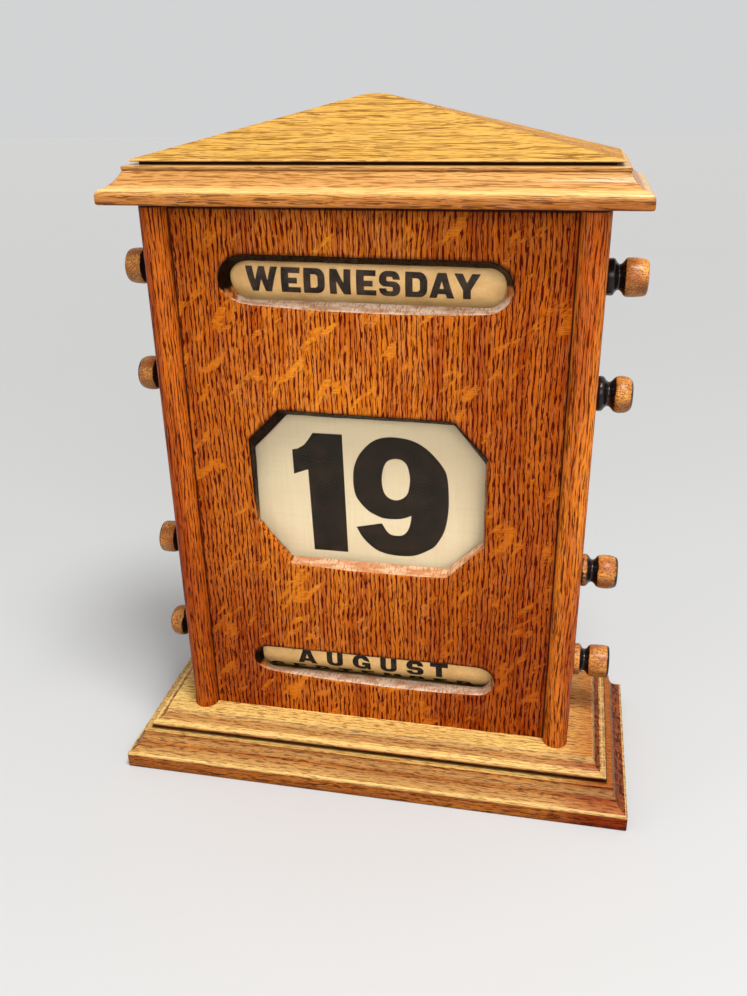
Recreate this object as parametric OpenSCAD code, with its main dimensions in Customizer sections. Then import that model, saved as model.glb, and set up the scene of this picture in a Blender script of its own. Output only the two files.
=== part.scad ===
// Perpetual desk calendar in oak: a moulded base, a case of two side boards and a front panel
// with three glazed openings, a moulded cornice and a low hipped roof. Two label drums show the
// weekday and the month, and a linen band wound between two rollers shows the date.
// X runs to the right, Y to the back, Z up, with the origin under the middle of the base.

/* [Base] */
// Thickness of the plinth board
plinth_t = 18; // [16:0.5:22]
// Height of the straight edge of the plinth
plinth_band_h = 7.4; // [6:0.2:9]
// Radius that takes the sharpness off the plinth's edge
plinth_arris_r = 1; // [0.6:0.1:1.6]
// Width of the plinth's moulding, from its straight edge in to the ledge
plinth_cove_w = 7.5; // [6:0.1:8]
// Radius of the plinth's hollow
plinth_cove_r = 12; // [11:0.5:16]
// How far the upper base board stands in from the plinth's edge
tier_in = 10.5; // [10:0.1:12]
// Thickness of the upper base board
tier_t = 8.4; // [7.6:0.2:10]
// Radius of the half-round bead along the upper board's edge
bead_r = 1.9; // [1.5:0.1:2.2]
// How far the bead's round goes on past its crest, in degrees
bead_wrap = 30; // [10:5:45]
// Width of the upper board's moulding, from the bead in to the flat top
tier_cove_w = 6.8; // [6:0.1:8]
// Radius of the upper board's hollow
tier_cove_r = 8; // [5:0.5:12]
// Width of the flat top that shows on each side of the case
base_margin_x = 12.2; // [8:0.2:16]
// Width of the flat top that shows in front of the case and behind it
base_margin_y = 3.6; // [2:0.2:8]

/* [Case] */
// Width over the two side boards
case_w = 190; // [182:1:200]
// Depth of the side boards, nose to back edge
case_d = 63.2; // [60:0.2:66]
// Height of the side boards
case_h = 250; // [245:1:270]
// Thickness of the side boards, and of their half-round nose
board_t = 11.6; // [10.6:0.2:13]
// Thickness of the front panel
panel_t = 7.4; // [6:0.2:8]
// How far the panel's face stands behind the nose
panel_setback = 6.6; // [5:0.2:8]
// Depth of the groove in each side board that takes the panel
groove_depth = 3; // [2:0.5:4]
// Thickness of the back panel
back_t = 6; // [4:0.5:6]
// Width of the rebate in each side board that takes the back panel
rebate_w = 6; // [5:0.5:6.5]

/* [Cornice and roof] */
// How far the cornice's nose stands out beyond each side board
cornice_out_x = 14.4; // [8:0.2:18]
// How far the cornice's nose stands out in front of the case and behind it
cornice_out_y = 4.8; // [3:0.2:10]
// Thickness of the cornice board
cornice_t = 14.4; // [13:0.2:18]
// Radius of the cornice's round nose
nose_r = 3; // [2.5:0.1:3.4]
// Radius under the cornice's nose
nose_foot_r = 1; // [0.6:0.1:1.6]
// Height at which the cornice's straight edge ends and its round nose begins
nose_straight = 3.4; // [2.6:0.2:4]
// How far the top fillet stands in from the nose
cornice_top_in = 8.8; // [8:0.2:10]
// Height of the top fillet
fillet_h = 1.5; // [1:0.1:2]
// Depth of the small step under the top fillet
fillet_step = 0.4; // [0.2:0.1:0.8]
// Radius of the cornice's hollow
cornice_cove_r = 14; // [11:0.5:20]
// How far the eaves stand in from the ends of the cornice's top
eave_in_x = 2.35; // [0:0.05:5]
// How far the eaves stand in from the front and back of the cornice's top
eave_in_y = 3.1; // [0:0.1:5]
// Height of the dark gap under the eaves
eave_gap = 1.3; // [0.8:0.1:2]
// How far the roof's seat stands in from the eaves
seat_in = 3; // [1:0.5:5]
// Height of the square edge along the eaves
eave_edge = 0.8; // [0.5:0.1:2]
// Rise of the roof from its square edge to its crown
roof_rise = 23; // [18:0.5:30]
// Radius that blunts the crown along the width
crown_r = 30; // [10:1:60]
// Radius that blunts the crown along the depth
crown_side_r = 2; // [1:0.5:6]

/* [Openings] */
// Sideways offset of the three openings from the middle of the case, negative to the left
opening_x = -1.5; // [-3:0.5:3]
// Width of the weekday slot
day_slot_w = 122.4; // [112:0.4:126]
// Height of the weekday slot
day_slot_h = 21.5; // [18:0.5:23]
// Width of the date window
date_window_w = 107; // [98:1:112]
// Height of the date window
date_window_h = 76.5; // [70:0.5:80]
// Width of the date window's cut corners
corner_cut_w = 16; // [10:0.5:20]
// Height of the date window's cut corners
corner_cut_h = 19; // [12:0.5:24]
// Height of the date window's centre above the middle between the weekday and month shafts
date_offset = -0.5; // [-4:0.5:4]
// Width of the month slot
month_slot_w = 119.6; // [110:0.4:126]
// Height of the month slot
month_slot_h = 16.2; // [14:0.2:20]

/* [Shafts and knobs] */
// Depth of the weekday shaft below the cornice
day_shaft_drop = 31.4; // [26:0.1:34]
// Height of the month shaft above the base
month_shaft_rise = 29.6; // [26:0.1:34]
// How far the upper date roller lies above the date window
upper_roller_over = 6.2; // [4:0.2:9]
// How far the lower date roller lies below the date window
lower_roller_under = 5.2; // [3:0.1:7]
// Diameter of the spindles
spindle_d = 8; // [7:0.5:9]
// Radial clearance of the spindles in the side boards
spindle_play = 0.05; // [0.02:0.01:0.1]
// How far the four shafts have slid to the left
shaft_shift = 2.4; // [0:0.1:4]
// Clearance left at the end that the shafts have slid to
end_clearance = 0.5; // [0.3:0.1:1]
// Length of a knob
knob_len = 17.2; // [15:0.2:20]
// Largest diameter of a knob's head
knob_d = 16; // [14.5:0.5:18]
// Length of a knob's head
knob_head_len = 9.8; // [8:0.2:11]
// How far the ball that rounds the head's edges is larger than the head, in radius
knob_round = 0.6; // [0.2:0.1:1.2]
// Diameter of a knob's collar
collar_d = 15.4; // [13.5:0.1:16]
// Length of the collar
collar_len = 3.5; // [2:0.1:4]
// Depth of the chamfers on the collar
collar_chamfer = 0.6; // [0.2:0.1:0.8]
// Diameter of the neck between collar and head
neck_d = 11; // [10.2:0.1:12]
// Depth of the spindle's seat in a knob
knob_bore_depth = 11; // [8:0.5:12]

/* [Drums and band] */
// Diameter of the weekday and month drums
drum_d = 34.8; // [33:0.2:35]
// Thickness of the printed labels round the drums
label_t = 0.3; // [0.2:0.05:0.4]
// Width of the printed labels
label_w = 132; // [130:1:150]
// Diameter of the bare date rollers
roller_d = 27.4; // [24:0.2:30]
// Width of the linen band
band_w = 126; // [116:1:140]
// Thickness of the linen as it winds
band_t = 0.12; // [0.08:0.01:0.2]
// Length of band for each date
date_pitch = 78; // [76:0.5:80]
// Date shown in the window
date_shown = 19; // [1:1:31]
// Gap between the band's flat stretch and the larger coil
band_gap = 0.3; // [0.2:0.05:0.6]
// Clearance in front of the drums and the band
front_clearance = 0.3; // [0.2:0.05:0.6]

/* [Glass] */
// Thickness of the glass
glass_t = 1.6; // [1.2:0.1:1.8]
// How far the glass reaches past each opening
glass_lap = 4; // [3:0.5:5]
// Width of the strips that hold the glass
strip_w = 5; // [4:0.5:6]
// Thickness of the lip over the glass
strip_lip_t = 0.6; // [0.4:0.1:0.8]
// How far the lip reaches over the glass
strip_lip_w = 1.5; // [1:0.1:2.5]

/* [Blocks and screws] */
// Leg of the triangular glue blocks
block_leg = 8; // [6:0.5:9]
// Length of the glue blocks
block_len = 26; // [18:1:34]
// Distance from a side board to the middle of a glue block
block_inset = 38; // [24:1:56]
// Diameter of the case screws
case_screw_d = 4; // [3:0.5:4.5]
// How far the case screws reach into the side boards
case_screw_bite = 15; // [10:1:18]
// Distance of the case screws from the front and back of the case
case_screw_inset = 15.6; // [13:0.2:19]
// Diameter of the back panel's screws
back_screw_d = 2.6; // [2:0.2:3]
// Length of the back panel's screws under the head
back_screw_len = 16; // [13:1:20]
// Height of a back panel screw's head
back_head_h = 1.8; // [1.2:0.1:2.4]
// Distance of the end screws from the back panel's ends
back_screw_inset = 36; // [30:1:50]

/* [Hidden] */
$fn = 64;
arc_steps = 10;

// Finishes
oak = "#c4761f";
oak_light = "#d99a3c";
oak_dark = "#8a4a1c";
raw_wood = "#b98a55";
dark_knob = "#5a2f16";
paper = "#c9b28a";
linen = "#e4dfd0";
glass = [0.8, 0.85, 0.85, 0.35];
brass = "#b08d3c";
steel = "#7d7d7d";

// Small clearances
fit_gap = 0.15;        // round a panel in its groove or rebate
glue_gap = 0.05;       // between a turned piece and the spindle or roller it is fixed to
pilot_gap = 0.05;      // round a screw in the wood
bore_end_gap = 1;      // between a spindle's end and the bottom of its seat in the knob
over = 1;              // how far a cut runs past the surface that it opens

// Dates on the band
last_date = 31;

// Heights
base_top = plinth_t + tier_t;
case_top = base_top + case_h;
cornice_top = case_top + cornice_t;
eave_z = cornice_top + eave_gap;

// Widths and depths of the moulded boards, from the case outwards
flat_w = case_w + 2 * base_margin_x;
flat_d = case_d + 2 * base_margin_y;
tier_w = flat_w + 2 * tier_cove_w;
tier_d = flat_d + 2 * tier_cove_w;
plinth_w = tier_w + 2 * tier_in;
plinth_d = tier_d + 2 * tier_in;
cornice_w = case_w + 2 * cornice_out_x;
cornice_d = case_d + 2 * cornice_out_y;
roof_w = cornice_w - 2 * cornice_top_in - 2 * eave_in_x;
roof_d = cornice_d - 2 * cornice_top_in - 2 * eave_in_y;

// Widths inside the case
inner_w = case_w - 2 * board_t;
board_x = case_w / 2 - board_t / 2;
panel_w = inner_w + 2 * (groove_depth - fit_gap);
back_w = inner_w + 2 * (rebate_w - fit_gap);

// Planes from front to back
nose_y = -case_d / 2;
panel_face_y = nose_y + panel_setback;
panel_back_y = panel_face_y + panel_t;
glass_back_y = panel_back_y + glass_t;
strip_back_y = glass_back_y + strip_lip_t;
back_face_y = case_d / 2;
back_inner_y = back_face_y - back_t;

// Openings and shafts, measured up from the base
day_z = case_top - day_shaft_drop;
month_z = base_top + month_shaft_rise;
date_z = (day_z + month_z) / 2 + date_offset;
upper_z = date_z + date_window_h / 2 + upper_roller_over;
lower_z = date_z - date_window_h / 2 - lower_roller_under;
shaft_zs = [day_z, upper_z, lower_z, month_z];

// Drums and coils
drum_r = drum_d / 2;
label_r = drum_r + glue_gap;
roller_r = roller_d / 2;
sheet_t = 2 * band_t;

// Radius of a coil that holds the band of so many dates
function coil_r(dates) = sqrt(pow(roller_r, 2) + dates * date_pitch * band_t / PI);

upper_coil_r = coil_r(date_shown);
lower_coil_r = coil_r(last_date + 1 - date_shown);

// The shafts stand just far enough back for the labels to clear the glass, and for the band
// to clear the glass strips even when one coil holds all of it
drum_reach = label_r + label_t + front_clearance;
coil_reach = coil_r(last_date) + band_gap + sheet_t + front_clearance;
shaft_y = max(glass_back_y + drum_reach, strip_back_y + coil_reach);
band_back_y = shaft_y - max(upper_coil_r, lower_coil_r) - band_gap;

// Lengths along the shafts
end_gap = shaft_shift + end_clearance;
drum_len = inner_w - 2 * end_gap;
knob_root_x = case_w / 2 + end_gap;
spindle_len = 2 * (knob_root_x + knob_bore_depth - bore_end_gap);

// Points of an arc, with angles counted from the x axis
function arc(centre, r, from, to) =
    [for (i = [0 : arc_steps]) let (a = from + (to - from) * i / arc_steps) centre + r * [cos(a), sin(a)]];

// Points of a hollow of radius r that rises from point low to point high
function hollow(low, high, r) =
    let (
        run = high - low,
        half = norm(run) / 2,
        centre = (low + high) / 2 + sqrt(r * r - half * half) / norm(run) * [-run[1], run[0]],
        start = low - centre,
        end = high - centre
    )
    arc(centre, r, atan2(start[1], start[0]), atan2(end[1], end[0]));

// The moulded edges, each drawn from the bottom up with x running inwards from the outermost point
function plinth_edge() = concat(
    [[0, 0], [0, plinth_band_h]],
    arc([plinth_arris_r, plinth_band_h], plinth_arris_r, 180, 90),
    hollow([plinth_arris_r, plinth_band_h + plinth_arris_r], [plinth_cove_w, plinth_t], plinth_cove_r)
);

function tier_edge() =
    let (bead = arc([bead_r, bead_r], bead_r, 270, 90 - bead_wrap))
    concat(bead, hollow(bead[arc_steps], [tier_cove_w, tier_t], tier_cove_r));

function cornice_edge() =
    let (step_z = cornice_t - fillet_h)
    concat(
        arc([nose_foot_r, nose_foot_r], nose_foot_r, 270, 180),
        arc([nose_r, nose_straight], nose_r, 180, 90),
        hollow([nose_r, nose_straight + nose_r], [cornice_top_in + fillet_step, step_z], cornice_cove_r),
        [[cornice_top_in, step_z], [cornice_top_in, cornice_t]]
    );

// A drawn section run along X: its x becomes Y and its y becomes Z
module along_x(length) {
    rotate([90, 0, 90]) linear_extrude(length, center = true) children();
}

// A drawn section run along Y
module along_y(length) {
    rotate([90, 0, 0]) linear_extrude(length, center = true) children();
}

// Section of a board with the same moulded edge at both ends
module edged_section(edge, span) {
    last = len(edge) - 1;
    polygon(concat(
        [for (p = edge) [p[0] - span / 2, p[1]]],
        [for (i = [last : -1 : 0]) [span / 2 - edge[i][0], edge[i][1]]]
    ));
}

// A board of width w and depth d, moulded on all four sides
module moulded_board(edge, w, d) {
    intersection() {
        along_x(w + 2 * over) edged_section(edge, d);
        along_y(d + 2 * over) edged_section(edge, w);
    }
}

module shaft_cylinder(r, length) {
    rotate([0, 90, 0]) cylinder(r = r, h = length, center = true);
}

module shaft_tube(r_in, r_out, length) {
    difference() {
        shaft_cylinder(r_out, length);
        shaft_cylinder(r_in, length + 2 * over);
    }
}

// Places its children on a shaft's axis, slid to the left as the shafts are
module on_shaft(z) {
    translate([-shaft_shift, shaft_y, z]) children();
}

module slot_outline(w, h) {
    for (side = [-1, 1]) translate([side * (w - h) / 2, 0]) circle(d = h);
    square([w - h, h], center = true);
}

module cut_corner_outline(w, h, cut_w, cut_h) {
    x = w / 2;
    z = h / 2;
    polygon([
        [-x + cut_w, -z], [x - cut_w, -z], [x, -z + cut_h], [x, z - cut_h],
        [x - cut_w, z], [-x + cut_w, z], [-x, z - cut_h], [-x, -z + cut_h]
    ]);
}

module base_plinth() {
    color(oak_light) difference() {
        moulded_board(plinth_edge(), plinth_w, plinth_d);
        case_screw_holes(0, true);
    }
}

module base_upper_board() {
    color(oak_light) difference() {
        translate([0, 0, plinth_t]) moulded_board(tier_edge(), tier_w, tier_d);
        case_screw_holes(0, true);
    }
}

// Plan of a side board: square at the back and half round at the front
module board_plan() {
    translate([-board_t / 2, nose_y + board_t / 2])
        square([board_t, case_d - board_t / 2]);
    translate([0, nose_y + board_t / 2]) circle(d = board_t);
}

// side is -1 for the left board and 1 for the right one
module side_board(side) {
    inner_x = side * inner_w / 2;
    difference() {
        translate([side * board_x, 0, base_top]) linear_extrude(case_h) board_plan();
        // groove for the front panel
        translate([inner_x, (panel_face_y + panel_back_y) / 2, base_top + case_h / 2])
            cube([2 * groove_depth, panel_t + 2 * fit_gap, case_h + 2 * over], center = true);
        // rebate for the back panel
        translate([inner_x, back_face_y, base_top + case_h / 2])
            cube([2 * rebate_w, 2 * back_t, case_h + 2 * over], center = true);
        // bearing holes of the four spindles
        for (z = shaft_zs)
            translate([side * board_x, shaft_y, z])
                shaft_cylinder(spindle_d / 2 + spindle_play, board_t + 2 * over);
        case_screw_holes(0, false);
        case_screw_holes(1, false);
        back_screw_holes();
    }
}

module side_board_left() {
    color(oak) side_board(-1);
}

module side_board_right() {
    color(oak) side_board(1);
}

module front_panel() {
    color(oak) difference() {
        translate([-panel_w / 2, panel_face_y, base_top]) cube([panel_w, panel_t, case_h]);
        translate([opening_x, (panel_face_y + panel_back_y) / 2, 0]) {
            translate([0, 0, day_z]) along_y(panel_t + 2 * over) slot_outline(day_slot_w, day_slot_h);
            translate([0, 0, date_z]) along_y(panel_t + 2 * over)
                cut_corner_outline(date_window_w, date_window_h, corner_cut_w, corner_cut_h);
            translate([0, 0, month_z]) along_y(panel_t + 2 * over)
                slot_outline(month_slot_w, month_slot_h);
        }
    }
}

module back_panel() {
    color(oak_dark) difference() {
        translate([-back_w / 2, back_inner_y, base_top]) cube([back_w, back_t, case_h]);
        back_screw_holes();
    }
}

module cornice_board() {
    color(oak_light) difference() {
        translate([0, 0, case_top]) moulded_board(cornice_edge(), cornice_w, cornice_d);
        case_screw_holes(1, true);
    }
}

// Gable of one pair of slopes, its peak blunted by an arc of radius r
module gable_section(span, r) {
    centre_z = eave_edge + roof_rise - r;
    // the straight slope meets the arc where a line from the eaves touches it
    away = norm([span / 2, centre_z - eave_edge]);
    touch = atan2(centre_z - eave_edge, span / 2) + asin(r / away);
    polygon(concat(
        [[-span / 2, 0], [-span / 2, eave_edge]],
        arc([0, centre_z], r, 90 + touch, 90 - touch),
        [[span / 2, eave_edge], [span / 2, 0]]
    ));
}

module roof_cap() {
    color(oak_light) {
        translate([0, 0, eave_z]) intersection() {
            along_y(roof_d + 2 * over) gable_section(roof_w, crown_r);
            along_x(roof_w + 2 * over) gable_section(roof_d, crown_side_r);
        }
        translate([-roof_w / 2 + seat_in, -roof_d / 2 + seat_in, cornice_top])
            cube([roof_w - 2 * seat_in, roof_d - 2 * seat_in, eave_gap]);
    }
}

module glass_sheet(w, h, z) {
    color(glass) translate([opening_x, (panel_back_y + glass_back_y) / 2, z])
        cube([w + 2 * glass_lap, glass_t, h + 2 * glass_lap], center = true);
}

// Two strips glued behind the panel, above and below a glass, each with a lip over its edge
module glass_strips(w, h, z) {
    edge = h / 2 + glass_lap + fit_gap;
    color(raw_wood) translate([opening_x, 0, z])
        for (side = [0, 1]) mirror([0, 0, side]) along_x(w) {
            translate([panel_back_y, edge]) square([glass_t + strip_lip_t, strip_w]);
            translate([glass_back_y, edge - strip_lip_w]) square([strip_lip_t, strip_lip_w + over]);
        }
}

module day_glass() {
    glass_sheet(day_slot_w, day_slot_h, day_z);
}

module date_glass() {
    glass_sheet(date_window_w, date_window_h, date_z);
}

module month_glass() {
    glass_sheet(month_slot_w, month_slot_h, month_z);
}

module day_glass_strips() {
    glass_strips(day_slot_w, day_slot_h, day_z);
}

module date_glass_strips() {
    glass_strips(date_window_w, date_window_h, date_z);
}

module month_glass_strips() {
    glass_strips(month_slot_w, month_slot_h, month_z);
}

// Triangular blocks in the corners behind the front panel, two on the base and two below the cornice
module glue_blocks() {
    block_x = inner_w / 2 - block_inset;
    color(raw_wood) for (x = [-block_x, block_x], top = [0, 1])
        translate([x, panel_back_y, top ? case_top : base_top]) mirror([0, 0, top])
            along_x(block_len) polygon([[0, 0], [block_leg, 0], [0, block_leg]]);
}

// A countersunk screw that points up from its head's face
module case_screw(length, d) {
    cylinder(d1 = 2 * d, d2 = d, h = d / 2);
    cylinder(d = d, h = length - d);
    translate([0, 0, length - d]) cylinder(d1 = d, d2 = d / 4, h = d);
}

// top is 0 for the screws up through the base and 1 for those down through the cornice.
// Children are placed once for each screw, pointing into the side boards.
module at_case_screws(top) {
    screw_y = case_d / 2 - case_screw_inset;
    for (x = [-board_x, board_x], y = [-screw_y, screw_y])
        translate([x, y, top ? cornice_top : 0]) mirror([0, 0, top]) children();
}

function case_screw_len(top) = (top ? cornice_t : base_top) + case_screw_bite;

// Holes for the case screws, with a countersink where the head lies
module case_screw_holes(top, countersunk) {
    d = case_screw_d + 2 * pilot_gap;
    at_case_screws(top) {
        translate([0, 0, -over]) cylinder(d = d, h = case_screw_len(top) + 2 * over);
        if (countersunk) {
            cylinder(d1 = d + case_screw_d, d2 = d, h = case_screw_d / 2);
        }
    }
}

module base_screws() {
    color(steel) at_case_screws(0) case_screw(case_screw_len(0), case_screw_d);
}

module cornice_screws() {
    color(steel) at_case_screws(1) case_screw(case_screw_len(1), case_screw_d);
}

// Places its children behind the back panel, turned so that their Z runs forwards into the case
module at_back_screws() {
    zs = [base_top + back_screw_inset, base_top + case_h / 2, case_top - back_screw_inset];
    for (x = [-1, 1], z = zs)
        translate([x * (inner_w + rebate_w) / 2, back_face_y, z]) rotate([90, 0, 0]) children();
}

module back_screw_holes() {
    at_back_screws() translate([0, 0, -over])
        cylinder(d = back_screw_d + 2 * pilot_gap, h = back_screw_len + 2 * over);
}

// Round-headed screws with a slot, their heads standing on the back panel
module back_panel_screws() {
    head_r = back_screw_d;
    slot_w = back_head_h / 3;
    // sphere whose cap is the head
    dome_r = (head_r * head_r + back_head_h * back_head_h) / (2 * back_head_h);
    color(brass) at_back_screws() {
        cylinder(d = back_screw_d, h = back_screw_len);
        difference() {
            mirror([0, 0, 1]) rotate_extrude() intersection() {
                translate([0, back_head_h - dome_r]) circle(r = dome_r);
                square([head_r, back_head_h]);
            }
            translate([-head_r - over, -slot_w / 2, -back_head_h - over])
                cube([2 * (head_r + over), slot_w, over + back_head_h / 2]);
        }
    }
}

// The stretch of band that runs straight down behind the date window
module date_band() {
    color(linen) translate([-shaft_shift - band_w / 2, band_back_y - sheet_t, lower_z])
        cube([band_w, sheet_t, upper_z - lower_z]);
}

module spindle(z) {
    color(raw_wood) on_shaft(z) shaft_cylinder(spindle_d / 2, spindle_len);
}

module label_drum(z) {
    color(raw_wood) on_shaft(z) shaft_tube(spindle_d / 2 + glue_gap, drum_r, drum_len);
}

module drum_label(z) {
    color(paper) on_shaft(z) shaft_tube(label_r, label_r + label_t, label_w);
}

module date_roller(z) {
    color(raw_wood) on_shaft(z) shaft_tube(spindle_d / 2 + glue_gap, roller_r, drum_len);
}

module band_coil(z, r) {
    color(linen) on_shaft(z) shaft_tube(roller_r + glue_gap, r, band_w);
}

// Half section of a knob: x is the radius and y runs from the collar's face to the head's end
module knob_half_section() {
    head_r = knob_d / 2;
    head_y = knob_len - knob_head_len;
    rim = collar_d / 2;
    polygon([
        [0, 0], [rim - collar_chamfer, 0], [rim, collar_chamfer],
        [rim, collar_len - collar_chamfer], [rim - collar_chamfer, collar_len],
        [neck_d / 2, (collar_len + head_y) / 2], [rim - collar_chamfer, head_y], [0, head_y]
    ]);
    intersection() {
        translate([0, head_y]) square([head_r, knob_head_len]);
        translate([0, head_y + knob_head_len / 2]) circle(r = head_r + knob_round);
    }
}

// side is -1 for the left knob and 1 for the right one
module knob(side, z) {
    color(dark_knob) on_shaft(z) translate([side * knob_root_x, 0, 0]) rotate([0, side * 90, 0])
        difference() {
            rotate_extrude() knob_half_section();
            translate([0, 0, -over])
                cylinder(r = spindle_d / 2 + glue_gap, h = knob_bore_depth + over);
        }
}

module day_spindle() {
    spindle(day_z);
}

module day_drum() {
    label_drum(day_z);
}

module day_label() {
    drum_label(day_z);
}

module day_knob_left() {
    knob(-1, day_z);
}

module day_knob_right() {
    knob(1, day_z);
}

module date_upper_spindle() {
    spindle(upper_z);
}

module date_upper_roller() {
    date_roller(upper_z);
}

module date_upper_coil() {
    band_coil(upper_z, upper_coil_r);
}

module date_upper_knob_left() {
    knob(-1, upper_z);
}

module date_upper_knob_right() {
    knob(1, upper_z);
}

module date_lower_spindle() {
    spindle(lower_z);
}

module date_lower_roller() {
    date_roller(lower_z);
}

module date_lower_coil() {
    band_coil(lower_z, lower_coil_r);
}

module date_lower_knob_left() {
    knob(-1, lower_z);
}

module date_lower_knob_right() {
    knob(1, lower_z);
}

module month_spindle() {
    spindle(month_z);
}

module month_drum() {
    label_drum(month_z);
}

module month_label() {
    drum_label(month_z);
}

module month_knob_left() {
    knob(-1, month_z);
}

module month_knob_right() {
    knob(1, month_z);
}

base_plinth();
base_upper_board();
side_board_left();
side_board_right();
front_panel();
back_panel();
cornice_board();
roof_cap();
day_glass();
date_glass();
month_glass();
day_glass_strips();
date_glass_strips();
month_glass_strips();
glue_blocks();
base_screws();
cornice_screws();
back_panel_screws();
date_band();
day_spindle();
day_drum();
day_label();
day_knob_left();
day_knob_right();
date_upper_spindle();
date_upper_roller();
date_upper_coil();
date_upper_knob_left();
date_upper_knob_right();
date_lower_spindle();
date_lower_roller();
date_lower_coil();
date_lower_knob_left();
date_lower_knob_right();
month_spindle();
month_drum();
month_label();
month_knob_left();
month_knob_right();
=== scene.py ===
from math import asin, atan2, ceil, cos, degrees, hypot, pi, radians, sin, sqrt, tan

import bmesh
import bpy
from mathutils import Matrix, Vector


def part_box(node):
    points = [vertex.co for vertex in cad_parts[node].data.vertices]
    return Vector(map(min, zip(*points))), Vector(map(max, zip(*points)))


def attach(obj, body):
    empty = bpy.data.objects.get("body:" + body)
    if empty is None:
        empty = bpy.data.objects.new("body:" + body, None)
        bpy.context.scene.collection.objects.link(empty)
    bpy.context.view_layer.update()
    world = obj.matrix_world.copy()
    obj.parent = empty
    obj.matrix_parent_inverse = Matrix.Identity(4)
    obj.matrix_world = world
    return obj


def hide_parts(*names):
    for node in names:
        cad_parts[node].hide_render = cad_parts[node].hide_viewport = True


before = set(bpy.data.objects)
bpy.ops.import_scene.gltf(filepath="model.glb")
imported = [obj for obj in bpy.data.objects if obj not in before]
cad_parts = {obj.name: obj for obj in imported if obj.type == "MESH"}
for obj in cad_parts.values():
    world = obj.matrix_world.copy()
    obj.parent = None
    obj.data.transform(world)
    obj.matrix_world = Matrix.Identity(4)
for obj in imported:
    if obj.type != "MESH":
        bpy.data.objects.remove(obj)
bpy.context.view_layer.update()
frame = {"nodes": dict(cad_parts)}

mm = 0.001
parts = frame["nodes"]
print("calendar: frame loaded,", len(parts), "parts")


# camera, lamps and floor

camera = dict(
    place=(80.684, -398.56, 326.327),    # mm
    down=24.865, turn=12.014, roll=-1.066,    # degrees
    lens=33.822,
)
lamps = dict(
    top=dict(place=(0.26, -0.34, 1.22), aim=(0.0, 0.0, 0.16), width=0.34, height=0.34, power=12.0),
    front=dict(place=(0.42, -1.10, 0.78), aim=(0.0, 0.0, 0.16), width=0.8, height=0.5, power=5.6),
    side=dict(place=(-1.05, -0.55, 0.60), aim=(0.0, 0.0, 0.15), width=0.6, height=0.8, power=1.6),
)
surround = dict(sky=(0.985, 0.99, 1.0), skyLight=0.42, skySeen=0.66,
                floor=(0.64, 0.64, 0.63), floorSize=9.0, pale=0.37, fade=0.75)


def linked(name, data):
    # a new object in the scene
    made = bpy.data.objects.new(name, data)
    bpy.context.collection.objects.link(made)
    return made


view = linked("view", bpy.data.cameras.new("view"))
view.data.lens = camera["lens"]
view.data.sensor_width = 36
view.data.clip_start = 0.01
view.matrix_world = (
    Matrix.Translation(Vector(camera["place"]) * mm)
    @ Matrix.Rotation(radians(camera["turn"]), 4, "Z")
    @ Matrix.Rotation(radians(90 - camera["down"]), 4, "X")
    @ Matrix.Rotation(radians(camera["roll"]), 4, "Z")
)
bpy.context.scene.camera = view
bpy.context.scene.view_settings.view_transform = "Standard"

for name, lamp in lamps.items():
    light = bpy.data.lights.new(name + "Lamp", "AREA")
    light.shape = "RECTANGLE"
    light.size, light.size_y, light.energy = lamp["width"], lamp["height"], lamp["power"]
    holder = linked(name + "Lamp", light)
    holder.location = lamp["place"]
    holder.rotation_euler = (Vector(lamp["aim"]) - holder.location).to_track_quat("-Z", "Y").to_euler()


# node helpers

def feed(tree, socket, value):
    value = value.socket if isinstance(value, Number) else value
    if isinstance(value, bpy.types.NodeSocket):
        tree.links.new(value, socket)
    elif socket.type == "RGBA" and len(value) == 3:
        socket.default_value = (*value, 1)
    else:
        socket.default_value = value


def addNode(tree, kind, feeds=None, **settings):
    node = tree.nodes.new(kind)
    for key, value in settings.items():
        setattr(node, key, value)
    for key, value in (feeds or {}).items():
        feed(tree, node.inputs[key], value)
    return node


class Number:
    # a number worked out in a node tree, with the usual arithmetic
    def __init__(self, tree, socket):
        self.tree, self.socket = tree, socket

    def maths(self, operation, first, second=0.0):
        node = addNode(self.tree, "ShaderNodeMath", {0: first, 1: second}, operation=operation)
        return Number(self.tree, node.outputs[0])

    def __add__(self, other):
        return self.maths("ADD", self, other)

    def __sub__(self, other):
        return self.maths("SUBTRACT", self, other)

    def __rsub__(self, other):
        return self.maths("SUBTRACT", other, self)

    def __mul__(self, other):
        return self.maths("MULTIPLY", self, other)

    def __pow__(self, other):
        return self.maths("POWER", self, other)

    def __abs__(self):
        return self.maths("ABSOLUTE", self)

    def sine(self):
        return self.maths("SINE", self)

    def most(self, other):
        return self.maths("MAXIMUM", self, other)

    def slope(self, low, high, start=0.0, end=1.0):
        # start below low, end above high, and an easy slope between
        node = addNode(self.tree, "ShaderNodeMapRange", {0: self, 1: low, 2: high, 3: start, 4: end},
                       interpolation_type="SMOOTHSTEP")
        return Number(self.tree, node.outputs[0])


shaderInputs = dict(
    shine="Specular IOR Level", coat="Coat Weight", coatRough="Coat Roughness", metal="Metallic",
    sheen="Sheen Weight", ior="IOR", through="Transmission Weight",
)


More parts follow.
